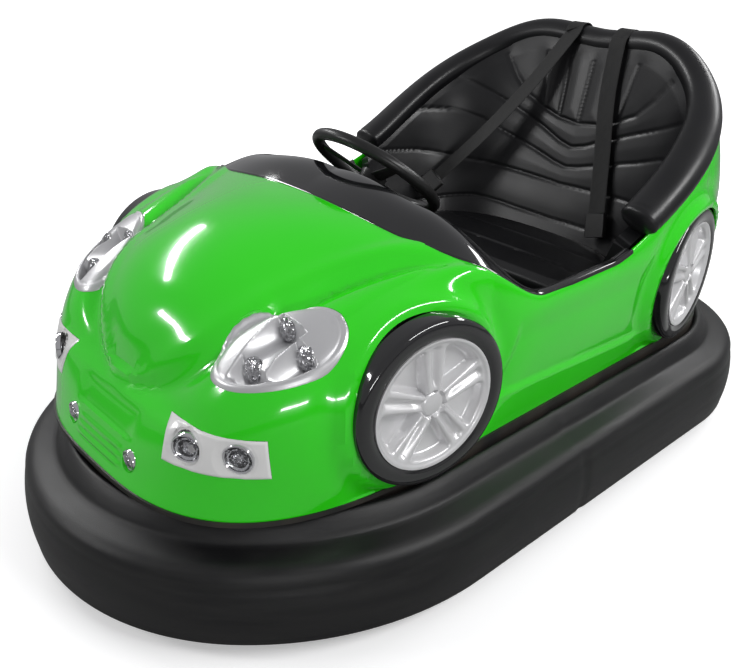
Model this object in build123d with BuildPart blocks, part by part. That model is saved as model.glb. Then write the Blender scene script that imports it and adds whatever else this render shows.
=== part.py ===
from build123d import *
import os
from math import acos, atan2, cos, degrees, exp, hypot, log, pi, radians, sin, sqrt

# Fairground bumper car, millimetres.
# +X is the front, +Y is the car's left, +Z is up, with the floor at z = 0.

# Rubber bumper ring
CAR_LENGTH = 1950
CAR_WIDTH = 1120
RING_BOTTOM = 36
RING_WIDTH = 118
RING_CREASE_Z = 168
RING_SHOULDER_Z = 201
RING_TOP = 246
RING_LEAN = 10
NOSE_ARC_CENTRE_X = 455
NOSE_ARC_RADIUS = 520
SIDE_ARC_CENTRE_X = 356
TAIL_ARC_CENTRE_X = -225
TAIL_ARC_RADIUS = 750
TAIL_CORNER_RADIUS = 440

# Steel chassis
SEAT_GAP = 0.3
BAND_WALL = 6
FLANGE_TOP = 265
FLANGE_THICK = 10
FLANGE_OUT = 4
FLANGE_IN = 40
BAND_BOTTOM = 60
LEDGE_WIDTH = 24
LEDGE_THICK = 6
FLOOR_Z = 100
FLOOR_THICK = 4
BEAM_WIDTH = 50
BEAM_HEIGHT = 46

# Glass fibre body: outline at its lower edge and at its upper rim, both superellipses
WALL = 6
BODY_FRONT_X = 300
BODY_FRONT_REACH = 560
BODY_FRONT_POWER = 3.0
BODY_REAR_X = -350
BODY_REAR_REACH = 500
BODY_REAR_POWER = 2.7
BODY_HALF_WIDTH = 437
RIM_FRONT_X = 60
RIM_FRONT_REACH = 287
RIM_FRONT_POWER = 3.4
RIM_REAR_X = -300
RIM_REAR_REACH = 400
RIM_REAR_POWER = 2.6
RIM_HALF_WIDTH = 452
SILL_Z = 552
RIM_TAIL_Z = 862
HUMP_RISE = 22
HUMP_Y = 195
HOOD_BASE_Z = 490
HOOD_TOP_Z = 697
HOOD_TIP_X = 795
FENDER_Z = 652
SHOULDER = 16
WHEEL_BULGE = 30
SIDE_BULGE = 5

# Moulded road wheels on the body's sides
TYRE_RADIUS = 165
COVER_RADIUS = 129
TYRE_DEPTH = 40
HUB_CAP_RADIUS = 24
SPOKES = 5
SIDE_WHEEL_Z = 432
FRONT_WHEEL_X = 427
FRONT_WHEEL_Y = 475
FRONT_WHEEL_TOE = -7.5
REAR_WHEEL_X = -478
REAR_WHEEL_Y = 462
REAR_WHEEL_TOE = 10.3

# Steering
WHEEL_X = 140
WHEEL_Z = 694
WHEEL_RIM_RADIUS = 146
WHEEL_GRIP_RADIUS = 13
COLUMN_TILT = 41
SHAFT_RADIUS = 11
COLUMN_RADIUS = 18
RUNNING_FIT = 0.05

# Drive unit
DRIVE_X = 470
DRIVE_WHEEL_RADIUS = 100
DRIVE_WHEEL_WIDTH = 60
KINGPIN_RADIUS = 20
BRIDGE_LENGTH = 170
BRIDGE_HALF_SPAN = 404
BRIDGE_THICK = 30
GEARBOX_SIZE = 110
GEARBOX_HEIGHT = 70
FORK_PLATE = 12
TURNTABLE_RADIUS = 110
MOTOR_RADIUS = 68
MOTOR_LENGTH = 118
AXLE_RADIUS = 10
WELL_RADIUS = 215

# Rear wheels
REAR_AXLE_X = -470
REAR_WHEEL_RADIUS = 75
REAR_TYRE_WIDTH = 50
REAR_WHEEL_TRACK = 290
REAR_AXLE_RADIUS = 15
BRACKET_THICK = 8
BRACKET_GAP = 12
BRACKET_LENGTH = 110
BRACKET_BOTTOM = 52
ARCH_GAP = 18
RIM_SHARE = 0.6

# Seat
ROLL_RADIUS = 33
SEAT_TOP = 420
SEAT_FRONT = 200
SEAT_REAR = 190
SEAT_HALF_WIDTH = 330
CUSHION_THICK = 110
SEAT_BASE_WALL = 4
PAD_THICK = 34

os.makedirs("parts", exist_ok=True)


def save(builder, name):
    """Label a finished piece and write it as its own STEP file."""
    builder.part.label = name
    export_step(builder.part, f"parts/{name}.step")


def blend(a, b, t):
    return a + (b - a) * t


def ramp(x, low, high):
    """Smooth step from 0 at low to 1 at high."""
    t = min(1, max(0, (x - low) / (high - low)))
    return t * t * (3 - 2 * t)


def superellipse_ray(angle, front, rear, half_width):
    """Distance from the centre to a plan outline with superellipse ends, along a ray."""
    c, s = cos(angle), abs(sin(angle))
    low, high = 0, CAR_LENGTH
    for _ in range(40):
        r = (low + high) / 2
        x, y = r * c, r * s / half_width
        end = front if x > 0 else rear
        over = max(0, (x - end[0]) * (1 if x > 0 else -1)) / end[1]
        if over ** end[2] + y ** end[2] < 1:
            low = r
        else:
            high = r
    return low


def lower_edge(angle):
    return superellipse_ray(
        angle,
        (BODY_FRONT_X, BODY_FRONT_REACH, BODY_FRONT_POWER),
        (BODY_REAR_X, BODY_REAR_REACH, BODY_REAR_POWER),
        BODY_HALF_WIDTH,
    )


def rim_edge(angle):
    return superellipse_ray(
        angle,
        (RIM_FRONT_X, RIM_FRONT_REACH, RIM_FRONT_POWER),
        (RIM_REAR_X, RIM_REAR_REACH, RIM_REAR_POWER),
        RIM_HALF_WIDTH,
    )


def hood_height(x, y):
    """Domed bonnet with a rounded tip, falling away to a valley on each side."""
    along = min(0.999, max(0, (x - 345) / 450))
    spine = HOOD_BASE_Z + (HOOD_TOP_Z - HOOD_BASE_Z) * sqrt(1 - along**2)
    if x > 600:
        tip = min(0.9999, (x - 600) / (HOOD_TIP_X - 600))
        half = 232 * (1 - tip**2.3) ** (1 / 2.3) + 4
    else:
        half = 232 + 0.2 * (600 - x) + 0.00075 * (600 - x) ** 2
    if x > HOOD_TIP_X:
        return HOOD_BASE_Z - 190
    return spine - blend(40, 62, ramp(x, 300, 520)) * (y / half) ** 2.2


def fender_height(x, y):
    """Crown of the front wing, a little lower towards the valley."""
    t = x - 370
    crown = FENDER_Z - 0.24 * (hypot(t, 60) + t) / 2 - 0.0026 * max(0, x - 650) ** 2
    ridge_y = 370 - 0.13 * max(0, x - 300) - 0.0002 * max(0, x - 500) ** 2
    inside = max(0, ridge_y - y) / 90
    return crown - 18 * (1 - exp(-inside * inside))


def body_top(x, y, back):
    """Height of the body's upper skin in front, running out to the sill's height."""
    y = abs(y)
    hood, fender = hood_height(x, y), fender_height(x, y)
    soft = 7.0
    high = max(hood, fender)
    front = high + soft * log(exp((hood - high) / soft) + exp((fender - high) / soft))
    return blend(back, front, ramp(x, 110, 320))


def rim_z(angle):
    """Height of the body's rim beside and behind the seat, with a low hump behind each shoulder."""
    r = rim_edge(angle)
    x, y = r * cos(angle), abs(r * sin(angle))
    t = min(1, max(0, (-130 - x) / 570))
    hump = HUMP_RISE * exp(-(((y - HUMP_Y) / 110) ** 2)) * ramp(-x, 500, 660)
    return SILL_Z + (RIM_TAIL_Z - SILL_Z) * t**1.55 * (1.25 - 0.25 * t) + hump


def plan_normal(angle):
    """Outward normal of the lower edge's outline, in plan."""
    step = 0.01
    ra, rb = lower_edge(angle - step), lower_edge(angle + step)
    dx = rb * cos(angle + step) - ra * cos(angle - step)
    dy = rb * sin(angle + step) - ra * sin(angle - step)
    length = hypot(dx, dy)
    return dy / length, -dx / length


def skin_point(angle, t):
    """Point of the body's outer skin on a ray, from the lower edge at 0 to the rim at 1."""
    low, rim = lower_edge(angle), rim_edge(angle)
    c, s = cos(angle), sin(angle)
    x_low = low * c
    power = blend(3.0, 5.0, ramp(x_low, -50, 250))
    flare = max(exp(-(((x_low - side) / 200) ** 2)) for side in (470, -500))
    flank = (low * s / BODY_HALF_WIDTH) ** 2
    bulge = blend(-10 if c > 0 else 18, SIDE_BULGE + WHEEL_BULGE * flare, flank**1.4)
    lean = -25 * max(0, c) ** 8
    psi = pi / 2 * (t - 0.10 * sin(4 * pi * t) / pi)
    size = (abs(cos(psi)) ** power + abs(sin(psi)) ** power) ** (1 / power)
    across, up = cos(psi) / size, sin(psi) / size
    shoulder = max(low, rim + SHOULDER)
    r = rim + (blend(low, shoulder, up) - rim) * across
    back = rim_z(angle)
    z = FLANGE_TOP + (body_top(r * c, r * s, back) - FLANGE_TOP) * up
    nx, ny = plan_normal(angle)
    push = bulge * sin(pi * 0.98 * up) + lean * up * across
    return r * c + push * nx, r * s + push * ny, z


def offset_point(surface, angle, t, distance):
    """Point of a surface moved along its normal, outwards if positive."""
    step = 0.004
    low, high = max(0, t - step), min(1, t + step)
    a, b = Vector(*surface(angle - step, t)), Vector(*surface(angle + step, t))
    c, d = Vector(*surface(angle, low)), Vector(*surface(angle, high))
    return Vector(*surface(angle, t)) + (b - a).cross(d - c).normalized() * distance


def grid_face(surface, angles, rows, distance):
    grid = []
    for angle in angles:
        row = [offset_point(surface, angle, j / rows, distance) for j in range(rows + 1)]
        if surface is skin_point:
            row[0].Z = FLANGE_TOP
        grid.append(row)
    return Face.make_surface_from_array_of_points(grid, tol=1, min_deg=3, max_deg=3)


def grid_solid(surface, degrees_list, rows, out, inward):
    """Thick piece of a formed surface between two offsets, closed by ruled edges."""
    angles = [radians(d) for d in degrees_list]
    outer = grid_face(surface, angles, rows, out)
    inner = grid_face(surface, angles, rows, -inward)
    faces = [outer, inner]
    for edge in outer.edges():
        mate = inner.edges().sort_by_distance(edge.center())[0]
        faces.append(Face.make_surface_from_curves(edge, mate))
    return Solid(Shell(faces))


def oval(inset):
    """Plan outline of the bumper ring, moved inwards, as tangent arcs for one half."""
    half = CAR_WIDTH / 2
    nose = NOSE_ARC_RADIUS
    step = NOSE_ARC_CENTRE_X - SIDE_ARC_CENTRE_X
    side = (step**2 + half**2 - nose**2) / (2 * (half - nose))
    nose_turn = degrees(acos(step / (side - nose)))
    corner_y = half - TAIL_CORNER_RADIUS
    reach = sqrt((TAIL_ARC_RADIUS - TAIL_CORNER_RADIUS) ** 2 - corner_y**2)
    corner_x = TAIL_ARC_CENTRE_X - reach
    tail_turn = degrees(atan2(corner_y, reach))
    CenterArc((NOSE_ARC_CENTRE_X, 0), nose - inset, 0, nose_turn)
    CenterArc((SIDE_ARC_CENTRE_X, half - side), side - inset, nose_turn, 90 - nose_turn)
    Line((SIDE_ARC_CENTRE_X, half - inset), (corner_x, half - inset))
    CenterArc((corner_x, corner_y), TAIL_CORNER_RADIUS - inset, 90, 90 - tail_turn)
    CenterArc((TAIL_ARC_CENTRE_X, 0), TAIL_ARC_RADIUS - inset, 180 - tail_turn, tail_turn)


def oval_face(inset):
    """Full plan face inside the bumper ring's outline."""
    with BuildSketch() as face:
        with BuildLine():
            oval(inset)
            mirror(about=Plane.XZ)
        make_face()
    return face.sketch


def lower_edge_face(grow):
    """Plan face inside the body's lower edge, grown outwards."""
    points = []
    for i in range(72):
        angle = 2 * pi * i / 72
        r = lower_edge(angle) + grow
        points.append((r * cos(angle), r * sin(angle)))
    with BuildSketch() as face:
        with BuildLine():
            Spline(*points, periodic=True)
        make_face()
    return face.sketch


# Bumper ring
with BuildPart() as bumper_ring:
    front = NOSE_ARC_CENTRE_X + NOSE_ARC_RADIUS
    with BuildLine() as ring_path:
        oval(0)
    with BuildSketch(Plane.XZ):
        with BuildLine():
            low = Line((front - RING_LEAN, RING_BOTTOM), (front - RING_WIDTH + 6, RING_BOTTOM))
            toe = Line(low @ 1, (front - RING_WIDTH, RING_BOTTOM + 6))
            wall = Line(toe @ 1, (front - RING_WIDTH, RING_TOP - 10))
            crown = ThreePointArc(wall @ 1, (front - RING_WIDTH + 12, RING_TOP), (front - 92, RING_TOP - 12))
            step = Line(crown @ 1, (front - 76, RING_SHOULDER_Z + 8))
            top = Line(step @ 1, (front - 40, RING_SHOULDER_Z))
            shoulder = ThreePointArc(top @ 1, (front - 17, RING_SHOULDER_Z - 8), (front - 8, RING_CREASE_Z))
            ThreePointArc(shoulder @ 1, (front, (RING_CREASE_Z + RING_BOTTOM) / 2), low @ 0)
        make_face()
    sweep(path=ring_path.line)
    mirror(about=Plane.XZ)
save(bumper_ring, "bumper_ring")

# Chassis: band behind the ring, flange under the body, ledge for the floor, bridge and rear beam
BAND_INSET = RING_WIDTH + SEAT_GAP
FLOOR_TOP = FLOOR_Z + FLOOR_THICK
leg_places = (REAR_WHEEL_TRACK - REAR_TYRE_WIDTH / 2 - BRACKET_GAP - BRACKET_THICK / 2,
              REAR_WHEEL_TRACK + REAR_TYRE_WIDTH / 2 + BRACKET_GAP + BRACKET_THICK / 2)
box_top = 2 * REAR_WHEEL_RADIUS + ARCH_GAP
band_y = CAR_WIDTH / 2 - BAND_INSET
with BuildPart() as chassis_frame:
    with BuildSketch(Plane.XY.offset(BAND_BOTTOM)):
        add(oval_face(BAND_INSET))
        add(oval_face(BAND_INSET + BAND_WALL), mode=Mode.SUBTRACT)
    extrude(amount=FLANGE_TOP - BAND_BOTTOM)
    with BuildSketch(Plane.XY.offset(FLANGE_TOP - FLANGE_THICK)):
        add(lower_edge_face(FLANGE_OUT))
        add(lower_edge_face(-FLANGE_IN), mode=Mode.SUBTRACT)
    extrude(amount=FLANGE_THICK)
    with BuildSketch(Plane.XY.offset(FLOOR_Z - LEDGE_THICK)):
        add(oval_face(BAND_INSET + 1))
        add(oval_face(BAND_INSET + BAND_WALL + LEDGE_WIDTH), mode=Mode.SUBTRACT)
    extrude(amount=LEDGE_THICK)
    with BuildSketch(Plane.XY.offset(FLANGE_TOP)):
        with Locations((DRIVE_X - 20, 0)):
            Rectangle(BRIDGE_LENGTH, 2 * BRIDGE_HALF_SPAN)
    extrude(amount=BRIDGE_THICK)
    with BuildSketch(Plane.XY.offset(FLANGE_TOP)):
        with Locations((DRIVE_X, 0)):
            Circle(KINGPIN_RADIUS + RUNNING_FIT)
    extrude(amount=BRIDGE_THICK, mode=Mode.SUBTRACT)
    with BuildSketch(Plane.XY.offset(FLOOR_TOP)):
        with Locations((REAR_AXLE_X, 0)):
            Rectangle(BEAM_WIDTH, 2 * leg_places[0])
    extrude(amount=BEAM_HEIGHT)
    for side in (-1, 1):
        for leg_y in leg_places:
            with BuildSketch(Plane.XZ.offset(-side * leg_y - BRACKET_THICK / 2)):
                with Locations((REAR_AXLE_X, (box_top + BRACKET_BOTTOM) / 2)):
                    Rectangle(BRACKET_LENGTH, box_top - BRACKET_BOTTOM)
            extrude(amount=BRACKET_THICK)
        with BuildSketch(Plane.XY.offset(box_top - BRACKET_THICK)):
            with Locations((REAR_AXLE_X, side * REAR_WHEEL_TRACK)):
                Rectangle(BRACKET_LENGTH, leg_places[1] - leg_places[0] + BRACKET_THICK)
        extrude(amount=BRACKET_THICK)
        arm = band_y - leg_places[1]
        with BuildSketch(Plane.XY.offset(FLOOR_TOP)):
            with Locations((REAR_AXLE_X, side * (leg_places[1] + arm / 2))):
                Rectangle(BEAM_WIDTH, arm)
        extrude(amount=BEAM_HEIGHT)
        with BuildSketch(Plane.XZ.offset(-side * REAR_WHEEL_TRACK - 60)):
            with Locations((REAR_AXLE_X, REAR_WHEEL_RADIUS)):
                Circle(REAR_AXLE_RADIUS + RUNNING_FIT)
        extrude(amount=120, mode=Mode.SUBTRACT)
save(chassis_frame, "chassis_frame")

with BuildPart() as floor_pan:
    with BuildSketch(Plane.XY.offset(FLOOR_Z)):
        add(oval_face(BAND_INSET + BAND_WALL + SEAT_GAP))
        with Locations((DRIVE_X, 0)):
            Circle(WELL_RADIUS, mode=Mode.SUBTRACT)
        with Locations((REAR_AXLE_X, REAR_WHEEL_TRACK), (REAR_AXLE_X, -REAR_WHEEL_TRACK)):
            Rectangle(2 * REAR_WHEEL_RADIUS + 40, leg_places[1] - leg_places[0] + 2 * BRACKET_THICK + 2,
                      mode=Mode.SUBTRACT)
    extrude(amount=FLOOR_THICK)
save(floor_pan, "floor_pan")

# Body shell
RAYS = [-10, -4, 2, 8, 14, 20, 26, 32, 39, 47, 55, 64, 73, 82, 90, 98, 107, 117, 126, 134, 142, 150, 158,
        166, 173, 180, 190]
SKIN_ROWS = 20
wheel_places = {
    "front": (FRONT_WHEEL_X, FRONT_WHEEL_Y, FRONT_WHEEL_TOE),
    "rear": (REAR_WHEEL_X, REAR_WHEEL_Y, REAR_WHEEL_TOE),
}
POD_CENTRE = (636, 300)
POD_SIZE = (118, 70)
POD_TURN = 139
POD_BOTTOM = 470
POD_PROUD = 4
FOG_RAY = 21.5
FOG_Z = 390
FOG_WIDTH = 205
FOG_HEIGHT = 72
FOG_LAMP_SPACING = 48
FOG_LAMP_RADIUS = 27
SMALL_LAMP_Y = 110
SMALL_LAMP_Z = 312
SMALL_LAMP_RADIUS = 21
TAIL_LAMP_RAY = 156
TAIL_LAMP_Z = 420
TAIL_LAMP_RADIUS = 40


def side_plane(place):
    """Plane of a moulded road wheel's outer face on the car's left, facing outwards."""
    x, y, toe = wheel_places[place]
    t = radians(toe)
    return Plane(origin=(x, y, SIDE_WHEEL_Z), x_dir=(cos(t), sin(t), 0), z_dir=(-sin(t), cos(t), 0))


def skin_plane(ray_degrees, z, sink):
    """Plane facing out of the body's skin, level with the floor along x, sunk below the surface."""
    angle = radians(ray_degrees)
    rows = [skin_point(angle, i / 60) for i in range(61)]
    x, y, _ = min(rows, key=lambda p: abs(p[2] - z))
    a, b = skin_point(angle - 0.05, 0.3), skin_point(angle + 0.05, 0.3)
    run = Vector(b[0] - a[0], b[1] - a[1], 0).normalized()
    out = Vector(run.Y, -run.X, 0)
    return Plane(origin=Vector(x, y, z) - out * sink, x_dir=-run, z_dir=out)


def fog_window(grow):
    """Tapered four-sided outline of the fog lamp panel."""
    half, top = FOG_WIDTH / 2 + grow, FOG_HEIGHT / 2 + grow
    with BuildSketch() as window:
        with BuildLine():
            Polyline((-half, -top), (half, -top), (half - 6, top), (-half + 6, top), close=True)
        make_face()
        fillet(window.vertices(), 6)
    return window.sketch


def pod_outline(grow):
    with BuildSketch() as outline:
        Ellipse(POD_SIZE[0] + grow, POD_SIZE[1] + grow)
    return outline.sketch


pod_plane = Plane(origin=(*POD_CENTRE, POD_BOTTOM), x_dir=(cos(radians(POD_TURN)), sin(radians(POD_TURN)), 0),
                  z_dir=(0, 0, 1))
fog_plane = skin_plane(FOG_RAY, FOG_Z, 60)
tail_plane = skin_plane(TAIL_LAMP_RAY, TAIL_LAMP_Z, 60)
small_plane = Plane(origin=(770, SMALL_LAMP_Y, SMALL_LAMP_Z), x_dir=(0, 1, 0), z_dir=(1, 0, 0))
with BuildPart() as body_openings:
    for place in wheel_places:
        arch = TYRE_RADIUS + SEAT_GAP
        with BuildSketch(side_plane(place).offset(-90)):
            Circle(arch)
            with Locations((0, arch * 0.9)):
                Rectangle(arch * 0.9, arch * 0.3)
        extrude(amount=220)
    with BuildSketch(pod_plane):
        add(pod_outline(SEAT_GAP))
    extrude(amount=250)
    with BuildSketch(fog_plane):
        add(fog_window(SEAT_GAP))
    extrude(amount=120)
    with BuildSketch(small_plane):
        Circle(SMALL_LAMP_RADIUS + SEAT_GAP)
    extrude(amount=150)
    with BuildSketch(tail_plane):
        Circle(TAIL_LAMP_RADIUS + SEAT_GAP)
    extrude(amount=120)
    mirror(about=Plane.XZ)
with BuildPart() as body_shell:
    add(grid_solid(skin_point, RAYS, SKIN_ROWS, 0, WALL))
    split(bisect_by=Plane.XZ, keep=Keep.BOTTOM)
    mirror(about=Plane.XZ)
    add(body_openings.part, mode=Mode.SUBTRACT)
save(body_shell, "body_shell")


def save_pair(builder, name):
    """Write a left-hand piece and its mirror image."""
    save(builder, name + "_left")
    with BuildPart() as right:
        add(mirror(builder.part, about=Plane.XZ, mode=Mode.PRIVATE))
    save(right, name + "_right")


# Headlight pods: silver panels in the wings, with a scoop in front of each lamp
LAMP_RADIUS = 23
LAMP_DEPTH = 5
lamp_places = [(686, 287, 540), (616, 348, 562), (600, 277, 577)]
SCOOP_LENGTH = 75
SCOOP_PITCH = 8


def lamp_plane(place):
    """Plane at the back of a headlamp's scoop, facing forwards and a little up."""
    tilt = radians(SCOOP_PITCH)
    return Plane(origin=place, x_dir=(0, 1, 0), z_dir=(cos(tilt), 0, sin(tilt)))


with BuildPart() as headlight_pod:
    add(grid_solid(skin_point, [6, 12, 18, 24, 30, 36, 42], SKIN_ROWS, POD_PROUD, 60))
    with BuildSketch(pod_plane):
        add(pod_outline(0))
    extrude(amount=250, mode=Mode.INTERSECT)
    for place in lamp_places:
        with BuildSketch(lamp_plane(place)):
            Circle(LAMP_RADIUS + SEAT_GAP)
        with BuildSketch(lamp_plane(place).offset(SCOOP_LENGTH)):
            with Locations((0, LAMP_RADIUS)):
                Circle(3)
        loft(mode=Mode.SUBTRACT)
save_pair(headlight_pod, "headlight_pod")

with BuildPart() as headlight_lamps:
    for place in lamp_places:
        with BuildSketch(lamp_plane(place).offset(SEAT_GAP)):
            Circle(LAMP_RADIUS - 3)
        extrude(amount=LAMP_DEPTH, taper=8)
    mirror(about=Plane.XZ)
save(headlight_lamps, "headlight_lamps")

# Fog lamp panels
with BuildPart() as fog_panel:
    add(grid_solid(skin_point, [4, 9, 14, 19, 24, 29, 34, 39], SKIN_ROWS, 1.5, 12))
    with BuildSketch(fog_plane):
        add(fog_window(0))
    extrude(amount=120, mode=Mode.INTERSECT)
    with BuildSketch(fog_plane):
        with Locations((-FOG_LAMP_SPACING, 0), (FOG_LAMP_SPACING, 0)):
            Circle(FOG_LAMP_RADIUS + SEAT_GAP)
    extrude(amount=120, mode=Mode.SUBTRACT)
save_pair(fog_panel, "fog_panel")

with BuildPart() as fog_lamps:
    with BuildSketch(fog_plane.offset(20)):
        with Locations((-FOG_LAMP_SPACING, 0), (FOG_LAMP_SPACING, 0)):
            Circle(FOG_LAMP_RADIUS)
    extrude(amount=35)
    mirror(about=Plane.XZ)
save(fog_lamps, "fog_lamps")

with BuildPart() as grille_lamp:
    with BuildSketch(small_plane.offset(45)):
        Circle(SMALL_LAMP_RADIUS)
    extrude(amount=34)
    mirror(about=Plane.XZ)
save(grille_lamp, "grille_lamps")

with BuildPart() as tail_lamp:
    with BuildSketch(tail_plane.offset(40)):
        Circle(TAIL_LAMP_RADIUS)
    extrude(amount=24)
    mirror(about=Plane.XZ)
save(tail_lamp, "tail_lamps")

# Moulded road wheels: a gloss tyre ring with a spoked cover, seated in each arch
TYRE_ROUND = 14
COVER_DEPTH = 22
COVER_SINK = 12
SPOKE_WIDTH = 30
SPOKE_TIP_WIDTH = 42
for place in wheel_places:
    plane = side_plane(place)
    with BuildPart() as tyre:
        with BuildSketch(Plane.XZ):
            with BuildLine():
                Polyline((COVER_RADIUS + SEAT_GAP, -TYRE_DEPTH), (TYRE_RADIUS, -TYRE_DEPTH),
                         (TYRE_RADIUS, -TYRE_ROUND))
                ThreePointArc((TYRE_RADIUS, -TYRE_ROUND), (TYRE_RADIUS - 4, -4), (TYRE_RADIUS - TYRE_ROUND, 0))
                Polyline((TYRE_RADIUS - TYRE_ROUND, 0), (COVER_RADIUS + SEAT_GAP, -4),
                         (COVER_RADIUS + SEAT_GAP, -TYRE_DEPTH))
            make_face()
        revolve(axis=Axis.Z)
    with BuildPart() as seated_tyre:
        add(plane.location * tyre.part)
    save_pair(seated_tyre, f"side_tyre_{place}")
    with BuildPart() as cover:
        with BuildSketch(Plane.XZ):
            with BuildLine():
                Polyline((0, -COVER_SINK - COVER_DEPTH), (COVER_RADIUS, -COVER_SINK - COVER_DEPTH),
                         (COVER_RADIUS, -4), (COVER_RADIUS - 9, -1), (COVER_RADIUS - 13, -6),
                         (COVER_RADIUS - 22, -COVER_SINK), (0, -COVER_SINK), close=True)
            make_face()
        revolve(axis=Axis.Z)
        with BuildSketch(Plane.XY.offset(-COVER_SINK)):
            for i in range(SPOKES):
                with BuildLine(Plane.XY.rotated((0, 0, 90 + 360 / SPOKES * i))):
                    Polyline((0, -SPOKE_WIDTH / 2), (COVER_RADIUS - 18, -SPOKE_TIP_WIDTH / 2),
                             (COVER_RADIUS - 18, SPOKE_TIP_WIDTH / 2), (0, SPOKE_WIDTH / 2), close=True)
                make_face()
        extrude(amount=6, taper=20)
        with BuildSketch(Plane.XY.offset(-COVER_SINK)):
            Circle(HUB_CAP_RADIUS)
        extrude(amount=9, taper=15)
    with BuildPart() as seated_cover:
        add(plane.location * cover.part)
    save_pair(seated_cover, f"wheel_cover_{place}")

# Cockpit trim: gloss black cowl in front, narrow sill strip at the sides, one roll round the opening
TRIM_WALL = 5
TRIM_ROLL = 14
COWL_WIDTH = 106
COWL_RISE = 26
TRIM_LEAN = 30
TRIM_GAP = 1.8


def trim_point(angle, t):
    """Point of the cowl and sill trim, from the body's rim at 0 to its lower inner edge at 1."""
    turn = abs(degrees(angle))
    front = 1 - ramp(turn, 52, 80)
    width = blend(20, COWL_WIDTH + 9 * sin(radians(2 * turn)), front)
    rise = blend(2, COWL_RISE + 10 * sin(radians(2 * turn)), 1 - ramp(turn, 46, 78))
    side = ramp(turn, 60, 84)
    drop = blend(70, 250, side)
    rim = rim_edge(angle) - TRIM_GAP
    z0 = body_top(rim * cos(angle), rim * sin(angle), rim_z(angle))
    if t < 0.5:
        k = t / 0.5
        r, z = rim - (width - TRIM_ROLL) * k, z0 + rise * sin(pi / 2 * k)
    elif t < 0.7:
        k = (t - 0.5) / 0.2 * pi / 2
        r, z = rim - width + TRIM_ROLL - TRIM_ROLL * sin(k), z0 + rise - TRIM_ROLL * (1 - cos(k))
    else:
        k = (t - 0.7) / 0.3
        r, z = rim - width - TRIM_LEAN * side * k, z0 + rise - TRIM_ROLL - drop * k
    return r * cos(angle), r * sin(angle), z


TRIM_RAYS = [-10, 0, 10, 20, 29, 37, 44, 50, 56, 62, 68, 75, 82, 90, 98, 106, 114]
with BuildPart() as cockpit_trim:
    add(grid_solid(trim_point, TRIM_RAYS, 20, 0, TRIM_WALL))
    split(bisect_by=Plane.XZ, keep=Keep.BOTTOM)
    mirror(about=Plane.XZ)
save(cockpit_trim, "cockpit_trim")

# Seat: padded tub round the driver, its rolled edge, the cushion and the bench under it
SEAT_RAYS = [118, 125, 132, 140, 148, 156, 164, 172, 180]
SEAT_RAYS = SEAT_RAYS + [360 - d for d in SEAT_RAYS[-2::-1]]
TUB_INSET = 54
ROLL_INSET = 12
ROLL_GAP = 1.5


def seat_edge(angle):
    return superellipse_ray(angle, (0, SEAT_FRONT, 3), (-300, SEAT_REAR + 20, 2.6), SEAT_HALF_WIDTH)


def tub_point(angle, t):
    """Front surface of the padded seat back, from the roll at 0 down to the cushion at 1."""
    rim, edge = rim_edge(angle) - TUB_INSET, seat_edge(angle)
    top = rim_z(angle) - 12
    r = blend(rim, edge, t) + 10 * sin(pi * t)
    return r * cos(angle), r * sin(angle), blend(top, SEAT_TOP - 14, t)


with BuildPart() as seat_tub:
    add(grid_solid(tub_point, SEAT_RAYS, 10, 0, PAD_THICK))
save(seat_tub, "seat_tub")


def roll_point(angle):
    """Centre of the seat's rolled edge, standing square on the rim."""
    step = 0.01
    a, b = [
        Vector((rim_edge(d) - ROLL_INSET) * cos(d), (rim_edge(d) - ROLL_INSET) * sin(d), rim_z(d))
        for d in (angle - step, angle + step)
    ]
    run = (b - a).normalized()
    up = (Vector(0, 0, 1) - run * run.Z).normalized()
    return (a + b) / 2 + up * (ROLL_RADIUS + ROLL_GAP)


with BuildPart() as seat_roll:
    with BuildLine():
        roll_line = Spline(*[roll_point(radians(d)) for d in SEAT_RAYS])
    with BuildSketch(Plane(origin=roll_line @ 0, z_dir=roll_line % 0)):
        Circle(ROLL_RADIUS)
    sweep()
save(seat_roll, "seat_roll")

with BuildPart() as seat_cushion:
    with BuildSketch(Plane.XY.offset(SEAT_TOP - CUSHION_THICK)):
        with BuildLine():
            edge = [radians(d) for d in range(120, 241, 10)]
            arc = Spline(*[((seat_edge(a) - 3) * cos(a), (seat_edge(a) - 3) * sin(a)) for a in edge])
            Line(arc @ 1, arc @ 0)
        make_face()
    extrude(amount=CUSHION_THICK)
    fillet(seat_cushion.edges().group_by(Axis.Z)[-1], 22)
save(seat_cushion, "seat_cushion")

BENCH_TOP = SEAT_TOP - CUSHION_THICK
BENCH_FRONT = -200
BENCH_TOP_REAR = -480
BENCH_BOX_REAR = -400
BENCH_WIDTH = 540
with BuildPart() as seat_bench:
    with BuildSketch(Plane.XY.offset(BENCH_TOP - SEAT_BASE_WALL)):
        with Locations(((BENCH_FRONT + BENCH_TOP_REAR) / 2, 0)):
            Rectangle(BENCH_FRONT - BENCH_TOP_REAR, BENCH_WIDTH)
    extrude(amount=SEAT_BASE_WALL)
    with BuildSketch(Plane.XY.offset(FLOOR_TOP)):
        with Locations(((BENCH_FRONT + BENCH_BOX_REAR) / 2, 0)):
            Rectangle(BENCH_FRONT - BENCH_BOX_REAR, BENCH_WIDTH)
            Rectangle(BENCH_FRONT - BENCH_BOX_REAR - 2 * SEAT_BASE_WALL, BENCH_WIDTH - 2 * SEAT_BASE_WALL,
                      mode=Mode.SUBTRACT)
    extrude(amount=BENCH_TOP - SEAT_BASE_WALL - FLOOR_TOP)
save(seat_bench, "seat_bench")

BATTERY_SIZE = (160, 440, 170)
with BuildPart() as battery_block:
    with Locations((-300, 0, FLOOR_TOP + BATTERY_SIZE[2] / 2)):
        Box(*BATTERY_SIZE)
save(battery_block, "battery_block")

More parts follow.
